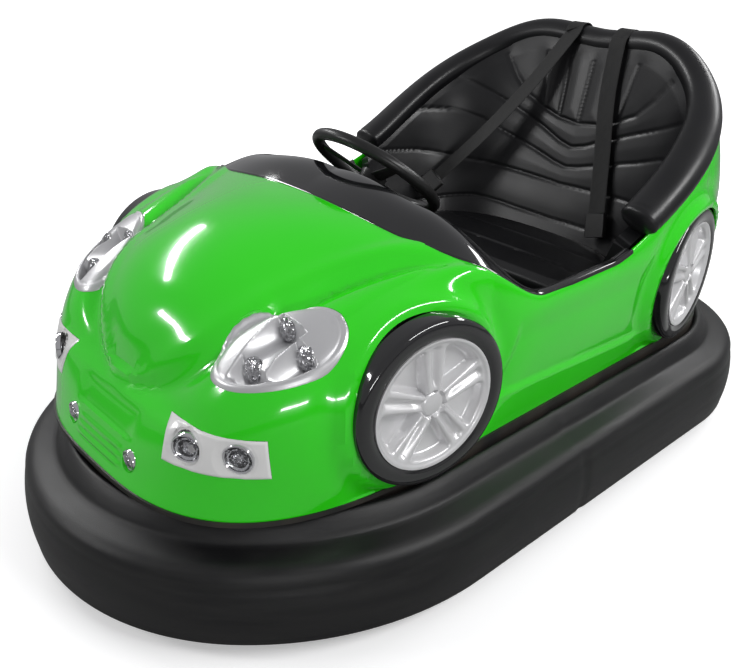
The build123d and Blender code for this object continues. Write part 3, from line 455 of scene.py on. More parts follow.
@dataclass(eq=False)
class BodyForm:
    """The formed surfaces of the moulded body, in millimetres.

    The sizes are the solid model's, apart from trim_gap, which is 1.8 there.
    """

    flange_top: float = 265
    front: tuple[float, float, float] = (300, 560, 3.0)
    rear: tuple[float, float, float] = (-350, 500, 2.7)
    half_width: float = 437
    rim_front: tuple[float, float, float] = (60, 287, 3.4)
    rim_rear: tuple[float, float, float] = (-300, 400, 2.6)
    rim_half_width: float = 452
    sill_z: float = 552
    rim_tail_z: float = 862
    hump_rise: float = 22
    hump_y: float = 195
    hood_base_z: float = 490
    hood_top_z: float = 697
    hood_tip_x: float = 795
    fender_z: float = 652
    shoulder: float = 16
    wheel_bulge: float = 30
    side_bulge: float = 5
    trim_gap: float = 0.6
    trim_roll: float = 14.0

    @staticmethod
    def ray(angle: float, front: Point, rear: Point, half_width: float) -> float:
        """Distance from the centre to a plan outline with superellipse ends."""
        c, s = cos(angle), abs(sin(angle))

        def inside(r: float) -> bool:
            x, y = r * c, r * s / half_width
            end = front if x > 0 else rear
            over = max(0.0, (x - end[0]) * (1 if x > 0 else -1)) / end[1]
            return over ** end[2] + y ** end[2] < 1

        return furthest(inside, FARTHEST, 36)

    @lru_cache(maxsize=None)
    def lower_edge(self, angle: float) -> float:
        """Reach of the body's lower edge."""
        return self.ray(angle, self.front, self.rear, self.half_width)

    @lru_cache(maxsize=None)
    def rim_edge(self, angle: float) -> float:
        """Reach of the body's upper rim."""
        return self.ray(angle, self.rim_front, self.rim_rear, self.rim_half_width)

    def hood_height(self, x: float, y: float) -> float:
        """Domed bonnet with a rounded tip, falling away to a valley on each side."""
        along = min(0.999, max(0.0, (x - 345) / 450))
        spine = self.hood_base_z + (self.hood_top_z - self.hood_base_z) * sqrt(1 - along**2)
        if x > self.hood_tip_x:
            return self.hood_base_z - 190
        if x > 600:
            tip = min(0.9999, (x - 600) / (self.hood_tip_x - 600))
            half = 232 * (1 - tip**2.3) ** (1 / 2.3) + 4
        else:
            half = 232 + 0.2 * (600 - x) + 0.00075 * (600 - x) ** 2
        return spine - blend(40, 62, ramp(x, 300, 520)) * (y / half) ** 2.2

    def fender_height(self, x: float, y: float) -> float:
        """Crown of the front wing, a little lower towards the valley."""
        t = x - 370
        crown = self.fender_z - 0.24 * (hypot(t, 60) + t) / 2 - 0.0026 * max(0.0, x - 650) ** 2
        ridge_y = 370 - 0.13 * max(0.0, x - 300) - 0.0002 * max(0.0, x - 500) ** 2
        inside = max(0.0, ridge_y - y) / 90
        return crown - 18 * (1 - exp(-inside * inside))

    def body_top(self, x: float, y: float, back: float) -> float:
        """Height of the body's upper skin in front, running out to the sill's height."""
        y = abs(y)
        hood, fender = self.hood_height(x, y), self.fender_height(x, y)
        soft = 7.0
        high = max(hood, fender)
        front = high + soft * log(exp((hood - high) / soft) + exp((fender - high) / soft))
        return blend(back, front, ramp(x, 110, 320))

    @lru_cache(maxsize=None)
    def rim_z(self, angle: float) -> float:
        """Height of the rim beside and behind the seat, with a hump behind each shoulder."""
        r = self.rim_edge(angle)
        x, y = r * cos(angle), abs(r * sin(angle))
        t = min(1.0, max(0.0, (-130 - x) / 570))
        hump = self.hump_rise * bell(y - self.hump_y, 110) * ramp(-x, 500, 660)
        return self.sill_z + (self.rim_tail_z - self.sill_z) * t**1.55 * (1.25 - 0.25 * t) + hump

    @lru_cache(maxsize=None)
    def plan_normal(self, angle: float) -> tuple[float, float]:
        """Outward normal of the lower edge's outline, in plan."""
        step = 0.01
        ra, rb = self.lower_edge(angle - step), self.lower_edge(angle + step)
        dx = rb * cos(angle + step) - ra * cos(angle - step)
        dy = rb * sin(angle + step) - ra * sin(angle - step)
        size = hypot(dx, dy)
        return dy / size, -dx / size

    def skin_point(self, angle: float, t: float) -> Point:
        """Point of the outer skin on a ray, from the lower edge at 0 to the rim at 1."""
        low, rim = self.lower_edge(angle), self.rim_edge(angle)
        c, s = cos(angle), sin(angle)
        x_low = low * c
        power = blend(3.0, 5.0, ramp(x_low, -50, 250))
        flare = max(bell(x_low - side, 200) for side in (470, -500))
        flank = (low * s / self.half_width) ** 2
        bulge = blend(-10 if c > 0 else 18, self.side_bulge + self.wheel_bulge * flare, flank**1.4)
        lean = -25 * max(0.0, c) ** 8
        psi = pi / 2 * (t - 0.10 * sin(4 * pi * t) / pi)
        size = (abs(cos(psi)) ** power + abs(sin(psi)) ** power) ** (1 / power)
        across, up = cos(psi) / size, sin(psi) / size
        shoulder = max(low, rim + self.shoulder)
        r = rim + (blend(low, shoulder, up) - rim) * across
        z = self.flange_top + (self.body_top(r * c, r * s, self.rim_z(angle)) - self.flange_top) * up
        nx, ny = self.plan_normal(angle)
        push = bulge * sin(pi * 0.98 * up) + lean * up * across
        return r * c + push * nx, r * s + push * ny, z

    def trim_point(self, angle: float, t: float) -> Point:
        """Point of the cowl and sill trim, from the rim at 0 to its lower inner edge at 1."""
        turn = abs(degrees(angle))
        front = 1 - ramp(turn, 52, 80)
        width = blend(20, 106 + 9 * sin(radians(2 * turn)), front)
        rise = blend(2, 26 + 10 * sin(radians(2 * turn)), 1 - ramp(turn, 46, 78))
        side = ramp(turn, 60, 84)
        drop = blend(70, 250, side)
        roll = self.trim_roll
        rim = self.rim_edge(angle) - self.trim_gap
        z0 = self.body_top(rim * cos(angle), rim * sin(angle), self.rim_z(angle))
        if t < 0.5:
            k = t / 0.5
            r, z = rim - (width - roll) * k, z0 + rise * sin(pi / 2 * k)
        elif t < 0.7:
            k = (t - 0.5) / 0.2 * pi / 2
            r, z = rim - width + roll - roll * sin(k), z0 + rise - roll * (1 - cos(k))
        else:
            k = (t - 0.7) / 0.3
            r, z = rim - width - 30 * side * k, z0 + rise - roll - drop * k
        return r * cos(angle), r * sin(angle), z

    def seat_edge(self, angle: float) -> float:
        """Reach of the seat cushion's outline."""
        return self.ray(angle, (0, 200, 3), (-300, 210, 2.6), 330)

    def roll_point(self, angle: float, radius: float, inset: float = 12.0) -> Vector:
        """Centre of the seat's rolled edge, standing square on the rim."""
        ends = []
        for d in (angle - 0.01, angle + 0.01):
            r = self.rim_edge(d) - inset
            ends.append(Vector((r * cos(d), r * sin(d), self.rim_z(d))))
        run = (ends[1] - ends[0]).normalized()
        up = (UP - run * run.z).normalized()
        return (ends[0] + ends[1]) / 2 + up * (radius + 1.5)


FORM = BodyForm()


@dataclass(frozen=True)
class WheelPlace:
    """Where a moulded road wheel sits in the body's side, in millimetres and degrees."""

    name: str
    x: float
    y: float
    toe: float
    z: float = 432.0

    def frame(self) -> LocalFrame:
        """Frame of its outer face on the car's left."""
        t = radians(self.toe)
        return LocalFrame(Vector((self.x, self.y, self.z)), Vector((cos(t), sin(t), 0)), UP,
                          Vector((-sin(t), cos(t), 0)))


WHEEL_PLACES = (WheelPlace("front", 427, 475, -7.5), WheelPlace("rear", -478, 462, 10.3))


def skin_frame(ray_degrees: float, z: float) -> LocalFrame:
    """Frame on the body's skin that faces out, level, at a height."""
    angle = radians(ray_degrees)
    x, y, _ = min((FORM.skin_point(angle, i / 60) for i in range(61)), key=lambda p: abs(p[2] - z))
    a, b = Vector(FORM.skin_point(angle - 0.05, 0.3)), Vector(FORM.skin_point(angle + 0.05, 0.3))
    run = Vector((b.x - a.x, b.y - a.y, 0)).normalized()
    return LocalFrame(Vector((x, y, z)), -run, UP, Vector((run.y, -run.x, 0)))


def tail_lamp_frame() -> LocalFrame:
    """Frame of the left tail lamp on the skin."""
    return skin_frame(TAIL_LAMP_RAY, TAIL_LAMP_Z)


@dataclass
class BodyShell:
    """The glossy moulded body with its wheel arches, lip flares, plate recess, grille ribs and lamp openings."""

    columns: int = 400
    rows: int = 84
    wall: float = 6.0
    lip: float = 7.0
    valley: float = 15.0
    ridge: float = 6.0
    door: float = 6.0
    plate_half: float = 98.0
    plate_z: tuple[float, float] = (346.0, 398.0)
    recess: float = 3.5
    rib_z: tuple[float, float] = (284.0, 330.0)
    rib_half: float = 86.0
    rib_depth: float = 3.0
    tree: BVHTree | None = field(default=None, repr=False)

    @staticmethod
    def valley_distance(x: float, y: float) -> float:
        """Plan distance from the valley beside the bonnet, positive on the bonnet."""
        x = min(x, FORM.hood_tip_x - 5)

        def step(u: float, v: float) -> float:
            return FORM.hood_height(u, v) - FORM.fender_height(u, v)

        here = step(x, y)
        slope = hypot(here - step(x - 3, y), step(x, y + 3) - here) / 3
        return here / max(slope, 0.15)

    def bonnet_relief(self, p: Vector) -> float:
        """Valley beside the bonnet and the ridge inside it."""
        if p.x <= 250 or p.z <= 400:
            return 0.0
        away = self.valley_distance(p.x, abs(p.y))
        fade = ramp(p.x, 250, 380) * ramp(p.z, 400, 450)
        return fade * (self.ridge * bell(away - 44, 26) - self.valley * bell(away, 19))

    def door_relief(self, p: Vector) -> float:
        """Sunk panel in the flank under the sill."""
        crease = blend(223, 182, ramp(p.z, 340, 500))
        floor = blend(356, 326, ramp(-p.x, -223, 300))
        inside = ramp(crease - p.x, -5, 7) * ramp(p.z - floor, -5, 8) * ramp(p.x, -330, -250)
        return -self.door * inside * ramp(535 - p.z, 0, 70) * ramp(abs(p.y), 380, 420)

    def arch_relief(self, p: Vector) -> float:
        """Flared lips round the road wheels."""
        rise = 0.0
        for place in WHEEL_PLACES:
            at = place.frame()
            away = Vector((p.x, abs(p.y), p.z)) - at.origin
            if abs(away.dot(at.out)) < 110:
                d = hypot(away.dot(at.right), away.z)
                rise += self.lip * bell(d - 176, 12) - 4 * bell(d - 208, 20)
        return rise

    def nose_relief(self, p: Vector) -> float:
        """Plate recess and the slats under it."""
        if p.x <= 600:
            return 0.0
        side = abs(p.y)
        low, high = self.plate_z
        across = ramp(self.plate_half - side, -3, 3)
        rise = -self.recess * across * ramp(p.z, low - 2, low + 3) * ramp(-p.z, -high - 2, -high + 3)
        low, high = self.rib_z
        if low < p.z < high and side < self.rib_half:
            slat = abs(sin(3 * pi * (p.z - low) / (high - low)))
            rise += self.rib_depth * slat * ramp(self.rib_half - side, 0, 8) - 1
        return rise

    def relief(self, p: Vector) -> float:
        """Outward relief of the small moulded forms at a point of the skin."""
        return self.bonnet_relief(p) + self.door_relief(p) + self.arch_relief(p) + self.nose_relief(p)

    def skin(self) -> np.ndarray:
        """Grid of outer points with the relief on it."""
        rows = np.concatenate([np.linspace(0, 0.34, 36, endpoint=False),
                               np.linspace(0.34, 1, self.rows - 36)])
        angles = [2 * pi * (i + 0.5) / self.columns - pi for i in range(self.columns)]
        grid = np.array([[FORM.skin_point(a, t) for t in rows] for a in angles])
        normals = grid_normals(grid, True)
        rise = np.array([[self.relief(Vector(p)) for p in column] for column in grid])
        rise[:, 0] = 0
        return grid + normals * rise[..., None]

    @staticmethod
    def opening(name: str, at: LocalFrame, outline: Outline, low: float, high: float) -> bpy.types.Object:
        """Prism used to cut an opening, from a local outline between two depths."""
        n = len(outline)
        points = [at.point(x, y, h) for h in (low, high) for x, y in outline]
        faces = [tuple(range(n))[::-1], tuple(range(n, 2 * n))]
        faces += [(i, (i + 1) % n, n + (i + 1) % n, n + i) for i in range(n)]
        if at.right.cross(at.up).dot(at.out) < 0:
            faces = [f[::-1] for f in faces]
        return make_object(name, np.array(points, float), faces, GREEN)

    def build(self) -> None:
        """Build the shell, cut its openings and let it stand for the CAD body."""
        grid = self.skin()
        self.tree = BVHTree.FromPolygons(grid.reshape(-1, 3).tolist(), grid_faces(*grid.shape[:2], True))
        shell = thick_grid("body_shell_gloss", grid, self.wall, GREEN, close=True)
        pod = ellipse(HeadlampPod.half_length + OPENING_GAP, HeadlampPod.half_width + OPENING_GAP)
        openings = [(f"cut_{place.name}", place.frame(), ellipse(ARCH_RADIUS + OPENING_GAP), -110, 130)
                    for place in WHEEL_PLACES]
        openings += [
            ("cut_pod", HeadlampPod.plan_frame(), pod, -20, 230),
            ("cut_fog", FogPanel.frame(), FogPanel.outline(OPENING_GAP), -60, 60),
            ("cut_small", facing_ahead(GRILLE_LAMP_AT), ellipse(GRILLE_LAMP_RADIUS + OPENING_GAP), 0, 150),
            ("cut_tail", tail_lamp_frame(), ellipse(TAIL_LAMP_RADIUS + OPENING_GAP), -60, 60),
        ]
        for side in Side:
            cut(shell, [self.opening(name, at.mirrored(side), outline, low, high)
                        for name, at, outline, low, high in openings])
        finish_object(shell, GREEN)
        seat_on(shell, ROOT, "body_shell", slot="body_gloss")

    def drop_to(self, x: float, y: float) -> float:
        """Height of the uncut skin under a plan position."""
        hit = self.tree.ray_cast(Vector((x, y, 1200)), Vector((0, 0, -1)))
        return hit[0].z if hit[0] else 500.0

    def press_to(self, origin: Vector, out: Vector) -> Vector:
        """Point of the uncut skin reached from outside along a direction."""
        hit = self.tree.ray_cast(origin + out * 150, -out)
        return hit[0] if hit[0] else origin


@dataclass
class Lamp:
    """A round lamp with a chrome ring, a reflector bowl and a clear lens."""

    name: str
    at: LocalFrame
    radius: float
    lens: Finish = CRYSTAL
    rise: float = 6.0

    def build(self, *nodes: str) -> None:
        """Build the ring, the bowl and the lens."""
        r = self.radius
        inner = 0.6 * r
        ring = [(r, -6), (r, 2), (r - 1, 4), (r - 3, 4.5), (r - 5, 3), (r - 5, -4), (inner + 2, -5),
                (inner + 1, -2.5), (inner - 1, -2.5), (inner - 1.5, -6)]
        steps = (0.9, 0.75, 0.6, 0.45, 0.3, 0.15, 0)
        bowl = [(inner, -6)] + [(max(0.3, inner * k), -6 - 9 * (1 - k * k)) for k in steps]
        seat_on(self.at.lathe(self.name + "_ring", ring, CHROME, 48), ROOT, *nodes, slot="lamp_lens")
        seat_on(self.at.lathe(self.name + "_bowl", bowl, DIAMOND, 48), ROOT)
        dome = [(max(0.2, (r - 5) * sin(k * pi / 20)), 1 + self.rise * cos(k * pi / 20)) for k in range(11)]
        dome += [(r - 5, -1)]
        seat_on(self.at.lathe(self.name + "_lens", dome, self.lens, 48), ROOT)


@dataclass
class HeadlampPod:
    """A silver panel in the wing with three gutters, each ending in a faceted lens."""

    body: BodyShell
    half_length: float = 118.0
    half_width: float = 70.0
    proud: float = 3.5
    lamps: tuple[tuple[float, float], ...] = ((684, 288), (616, 346), (600, 279))
    gutter: float = 31.0
    gutter_length: float = 105.0
    lens_radius: float = 23.0
    lens_tilt: float = 14.0
    skirt: float = 22.0
    form: np.ndarray | None = field(default=None, repr=False)

    def fit(self) -> None:
        """Fit one smooth crowned surface to the skin under the panel."""
        rows, heights = [], []
        for i in range(24):
            for f in (0.3, 0.6, 0.8, 1.0, 1.05):
                p = self.plan_point(2 * pi * i / 24, f)
                rows.append(self.terms(p.x, p.y))
                heights.append(self.body.drop_to(p.x, p.y))
        self.form = np.linalg.lstsq(np.array(rows), np.array(heights), rcond=None)[0]

    @staticmethod
    def terms(x: float, y: float) -> list[float]:
        """Terms of the crowned surface at a plan position."""
        u, v = (x - 636) / 100, (y - 300) / 100
        return [1, u, v, u * u, u * v, v * v]

    def smooth(self, x: float, y: float) -> float:
        """Height of the crowned surface at a plan position."""
        return float(np.dot(self.form, self.terms(x, y)))

    @staticmethod
    def plan_frame() -> LocalFrame:
        """Frame of the panel's plan outline, its out axis up."""
        t = radians(139)
        return LocalFrame(Vector((636, 300, 470)), Vector((cos(t), sin(t), 0)), Vector((-sin(t), cos(t), 0)), UP)

    def plan_point(self, turn: float, share: float) -> Vector:
        """Point of the plan ellipse at an angle, at a share of its radius."""
        return self.plan_frame().point(self.half_length * share * cos(turn), self.half_width * share * sin(turn), 0)

    def height(self, x: float, y: float, edge: float) -> float:
        """Height of the panel at a plan position; edge is 0 at its middle and 1 at its rim."""
        z = blend(self.smooth(x, y), self.body.drop_to(x, y), 0.8 * ramp(edge, 0.75, 1.0))
        z += self.proud * (1 - ramp(edge, 0.955, 1.0)) - 1.2 * bell(edge - 0.9, 0.02)
        drop = 0.0
        for lx, ly in self.lamps:
            s, w = x - lx, y - ly
            if -2 < s < self.gutter_length:
                along = max(0.0, s) / self.gutter_length
                width = self.gutter * (1 - 0.3 * along) * (1.7 if w > 0 else 0.85)
                bowl = cos(min(pi / 2, abs(w) / width * pi / 2)) ** 0.8
                drop = max(drop, 2 * self.lens_radius * (1 - along) ** 0.9 * bowl * ramp(s, -2, 1))
        return z - drop * ramp(1.0 - edge, 0.08, 0.30)

    def build(self, side: Side) -> None:
        """Build one side's panel and its lenses."""
        self.fit()
        turns, rings = 220, 70
        points: list[list[Point]] = []
        for i in range(turns):
            row = []
            for k in range(rings + 1):
                f = max(0.004, k / rings)
                p = self.plan_point(2 * pi * i / turns, f)
                row.append((p.x, p.y, self.height(p.x, p.y, f)))
            x, y, z = row[-1]
            points.append(row + [(x, y, z - self.skirt)])
        grid = np.array(points)
        grid[:, :, 1] *= side.value
        faces = grid_faces(turns, rings + 2, True, 0, side is Side.LEFT)
        panel = make_object(f"headlamp_panel_{side.label}", grid, faces, SILVER, 50)
        seat_on(panel, ROOT, f"headlight_pod_{side.label}", slot="silver_gloss")
        tilt = radians(self.lens_tilt)
        r = self.lens_radius
        dome = [(0.2, 10)] + [(r * sin(k * pi / 16), 3 + 7 * cos(k * pi / 16)) for k in range(1, 9)]
        for number, (x, y) in enumerate(self.lamps):
            z = self.smooth(x - 4, y) - r + 2
            place = LocalFrame(Vector((x - 3, y, z)), LEFTWARD, Vector((-sin(tilt), 0, cos(tilt))),
                               Vector((cos(tilt), 0, sin(tilt)))).mirrored(side)
            lens = place.lathe(f"headlamp_{side.label}_{number}", dome + [(r, -6), (0.2, -6)], DIAMOND, 16, 12)
            nodes = ("headlight_lamps",) if side is Side.LEFT and number == 0 else ()
            seat_on(lens, ROOT, *nodes, slot="lamp_lens")


@dataclass
class FogPanel:
    """A light grey panel on the nose's corner with two round lamps in shallow bowls."""

    body: BodyShell
    half_length: float = 102.5
    half_height: float = 36.0
    taper: float = 6.0
    spacing: float = 48.0
    lamp_radius: float = 29.0
    proud: float = 3.0

    @staticmethod
    def frame() -> LocalFrame:
        """Frame on the skin at the panel's middle."""
        return skin_frame(20.8, 390)

    @classmethod
    def outline(cls, grow: float) -> Outline:
        """Corner points of the tapered window."""
        half, top = cls.half_length + grow, cls.half_height + grow
        return [(-half, -top), (half, -top), (half - cls.taper, top), (-half + cls.taper, top)]

    def build(self, side: Side) -> None:
        """Build one side's panel and lamps."""
        at = self.frame()
        n, m = 120, 48
        tall = self.half_height
        grid = np.zeros((n, m, 3))
        for i in range(n):
            for j in range(m):
                v = (j / (m - 1) * 2 - 1) * tall
                half = self.half_length - self.taper * (v + tall) / (2 * tall)
                u = (i / (n - 1) * 2 - 1) * half
                on = self.body.press_to(at.point(u, v, 0), at.out)
                bowl = 0.0
                for c in (-self.spacing, self.spacing):
                    bowl = max(bowl, cos(min(pi / 2, hypot(u - c - 6, v) / 40 * pi / 2)))
                    if hypot(u - c, v) < self.lamp_radius - 2:
                        bowl = 3.0
                edge = min(half - abs(u), tall - abs(v))
                rise = self.proud - 2.4 * ramp(5 - edge, 0, 5) ** 2 - 7 * bowl
                p = on + at.out * rise
                grid[i, j] = (p.x, p.y * side.value, p.z)
        if side is Side.RIGHT:
            grid = grid[::-1]
        panel = thick_grid(f"fog_panel_{side.label}_grey", grid[::-1], 8, GREY_PANEL)
        seat_on(panel, ROOT, f"fog_panel_{side.label}", slot="grey_panel")
        for number, c in enumerate((-self.spacing, self.spacing)):
            p = self.body.press_to(at.point(c, 0, 0), at.out)
            place = at.moved(p - at.out * 3).mirrored(side)
            nodes = ("fog_lamps",) if side is Side.LEFT and number == 0 else ()
            Lamp(f"fog_lamp_{side.label}_{number}", place, self.lamp_radius).build(*nodes)


@dataclass
class RoadWheel:
    """A moulded road wheel: gloss black tyre ring and a five-spoke cover with double ridges."""

    place: WheelPlace
    tyre_radius: float = ARCH_RADIUS
    cover_radius: float = 129.0
    depth: float = 40.0
    skirt: float = -30.0
    hub: float = 24.0
    spokes: int = 5

    def cover_height(self, r: float, turn: float) -> float:
        """Height of the cover's face at a radius and angle."""
        deep, face = -30.0, -11.0
        k = (r - self.hub) / (self.cover_radius - self.hub)
        pitch = 2 * pi / self.spokes
        near = (turn + pitch / 2) % pitch - pitch / 2
        w = abs(r * sin(near))
        half = blend(17.0, 30.0, max(0.0, k))
        spoke = ramp(half - w, -3, 4)
        ridge = 4.5 * bell(w - half * 0.58, 6.5) - 6.0 * bell(w, 5.5) * ramp(k, 0.03, 0.25)
        z = blend(deep + 4 * k, face + ridge + 3 * (1 - max(0.0, k)), spoke)
        rim = ramp(r, self.cover_radius - 22, self.cover_radius - 11)
        z = blend(z, -5 + 4 * ramp(r, self.cover_radius - 10, self.cover_radius - 4), rim)
        if r < self.hub + 5:
            cap = -5 - 0.006 * r * r - 4 * ramp(r, self.hub - 3, self.hub)
            z = blend(cap, z, ramp(r, self.hub, self.hub + 5))
        return z

    def build(self, side: Side) -> None:
        """Build one wheel on one side."""
        at = self.place.frame().mirrored(side)
        name = f"{self.place.name}_{side.label}"
        t, c, d = self.tyre_radius, self.cover_radius + 0.3, self.depth
        profile = [(c, -d), (t, -d), (t, -12), (t - 1.5, -6), (t - 5, -2), (t - 11, 0), (t - 20, 0.6), (c + 6, -0.6),
                   (c + 4, -2.4), (c + 2, -2.4), (c, -4)]
        tyre = at.lathe(f"road_tyre_{name}", profile, BLACK_GLOSS, 128, 50, close=True)
        seat_on(tyre, ROOT, f"side_tyre_{name}", slot="black_gloss")
        turns, rings = 260, 56
        rows = np.linspace(0.4, self.cover_radius, rings)
        grid = []
        for i in range(turns):
            turn = 2 * pi * i / turns
            face = [at.polar(r, turn, self.cover_height(r, turn - pi / 2)) for r in rows]
            grid.append(face + [at.polar(rows[-1], turn, self.skirt)])
        faces = grid_faces(turns, rings + 1, True, 0, side is Side.RIGHT)
        cover = make_object(f"spoked_cover_{name}", np.array(grid, float), [f[::-1] for f in faces], WHITE_SILVER, 55)
        seat_on(cover, ROOT, f"wheel_cover_{name}", slot="silver_gloss")


@dataclass
class BumperRing:
    """The rubber bumper: a tall convex outer face, a creased shoulder and an inner roll, with a butt joint."""

    half_width: float = 560.0
    nose_x: float = 455.0
    nose_radius: float = 520.0
    side_x: float = 356.0
    tail_x: float = -225.0
    tail_radius: float = 750.0
    corner: float = 440.0
    seam_x: float = 20.0

    def outline(self) -> list[tuple[Vector, Vector]]:
        """Points and outward normals round the ring, counter-clockwise from the nose."""
        step = self.nose_x - self.side_x
        side = (step**2 + self.half_width**2 - self.nose_radius**2) / (2 * (self.half_width - self.nose_radius))
        nose_turn = acos(step / (side - self.nose_radius))
        corner_y = self.half_width - self.corner
        reach = sqrt((self.tail_radius - self.corner) ** 2 - corner_y**2)
        corner_x = self.tail_x - reach
        tail_turn = atan2(corner_y, reach)
        half: list[tuple[Vector, Vector]] = []

        def arc(cx: float, cy: float, r: float, start: float, end: float, n: int) -> None:
            for i in range(n):
                a = blend(start, end, i / n)
                out = Vector((cos(a), sin(a), 0))
                half.append((Vector((cx, cy, 0)) + out * r, out))

        arc(self.nose_x, 0, self.nose_radius, 0, nose_turn, 46)
        arc(self.side_x, self.half_width - side, side, nose_turn, pi / 2, 24)
        for i in range(60):
            half.append((Vector((blend(self.side_x, corner_x, i / 60), self.half_width, 0)), Vector((0, 1, 0))))
        arc(corner_x, corner_y, self.corner, pi / 2, pi - tail_turn, 44)
        arc(self.tail_x, 0, self.tail_radius, pi - tail_turn, pi, 14)
        half.append((Vector((self.tail_x - self.tail_radius, 0, 0)), Vector((-1, 0, 0))))
        return half + [(p * MIRROR, n * MIRROR) for p, n in half[-2:0:-1]]

    def profile(self) -> list[tuple[float, float]]:
        """Section as (distance in from the outer face, height)."""
        points = [(10, 36), (6.5, 40)]
        for k in range(15):
            z = blend(48, 156, k / 14)
            points.append((0.3 + 8.5 * ((z - 102) / 66) ** 2, z))
        points += [(8.4, 163), (8.6, 168), (9.2, 172), (10.5, 180), (13.5, 187), (18, 192.5), (25, 197), (33, 200),
                   (40, 201.2), (52, 203.5), (64, 206), (73, 208.5), (76.5, 211), (79, 216), (83, 222), (88, 230),
                   (92, 235), (97, 240.5), (102, 244), (106, 245.6), (110, 244.5), (114, 241), (117, 236), (118, 225),
                   (118, 42), (112, 36)]
        return points

    def build(self) -> None:
        """Build the ring."""
        rows = self.profile()
        grid = []
        for p, n in self.outline():
            groove = 3.0 if p.y > 0 and abs(p.x - self.seam_x) < 4 else 0.0
            grid.append([p - n * (inset + (groove if k < 46 else 0)) + Vector((0, 0, z))
                         for k, (inset, z) in enumerate(rows)])
        points = np.array(grid, float)
        n, m = points.shape[:2]
        faces = grid_faces(n, m, True)
        faces += [(i * m + m - 1, (i + 1) % n * m + m - 1, (i + 1) % n * m, i * m) for i in range(n)]
        ring = make_object("bumper_ring_rubber", points, faces, RUBBER, 38)
        seat_on(ring, ROOT, "bumper_ring", slot="bumper_rubber")


@dataclass
class Cowl:
    """The gloss black cowl and sill trim round the cockpit."""

    reach: float = 113.0
    wall: float = 5.0

    @staticmethod
    def lip_points(angle: float) -> list[Point]:
        """Section of the rounded lip that caps the body's rim."""
        x, y, z = FORM.trim_point(angle, 0)
        corners = ((8, -6), (7.5, -1), (5, 2.4), (2, 3.2))
        return [(x + out * cos(angle), y + out * sin(angle), z + up) for out, up in corners]

    def build(self) -> None:
        """Build the trim as one thick moulding."""
        angles = np.radians(np.linspace(-self.reach, self.reach, 210))
        rows = np.concatenate([np.linspace(0, 0.5, 18, endpoint=False), np.linspace(0.5, 0.7, 12, endpoint=False),
                               np.linspace(0.7, 1, 10)])
        grid = np.array([self.lip_points(a) + [FORM.trim_point(a, t) for t in rows] for a in angles])
        trim = thick_grid("cockpit_trim_gloss", grid, self.wall, BLACK_GLOSS, sharp=50)
        seat_on(trim, ROOT, "cockpit_trim", slot="black_gloss")


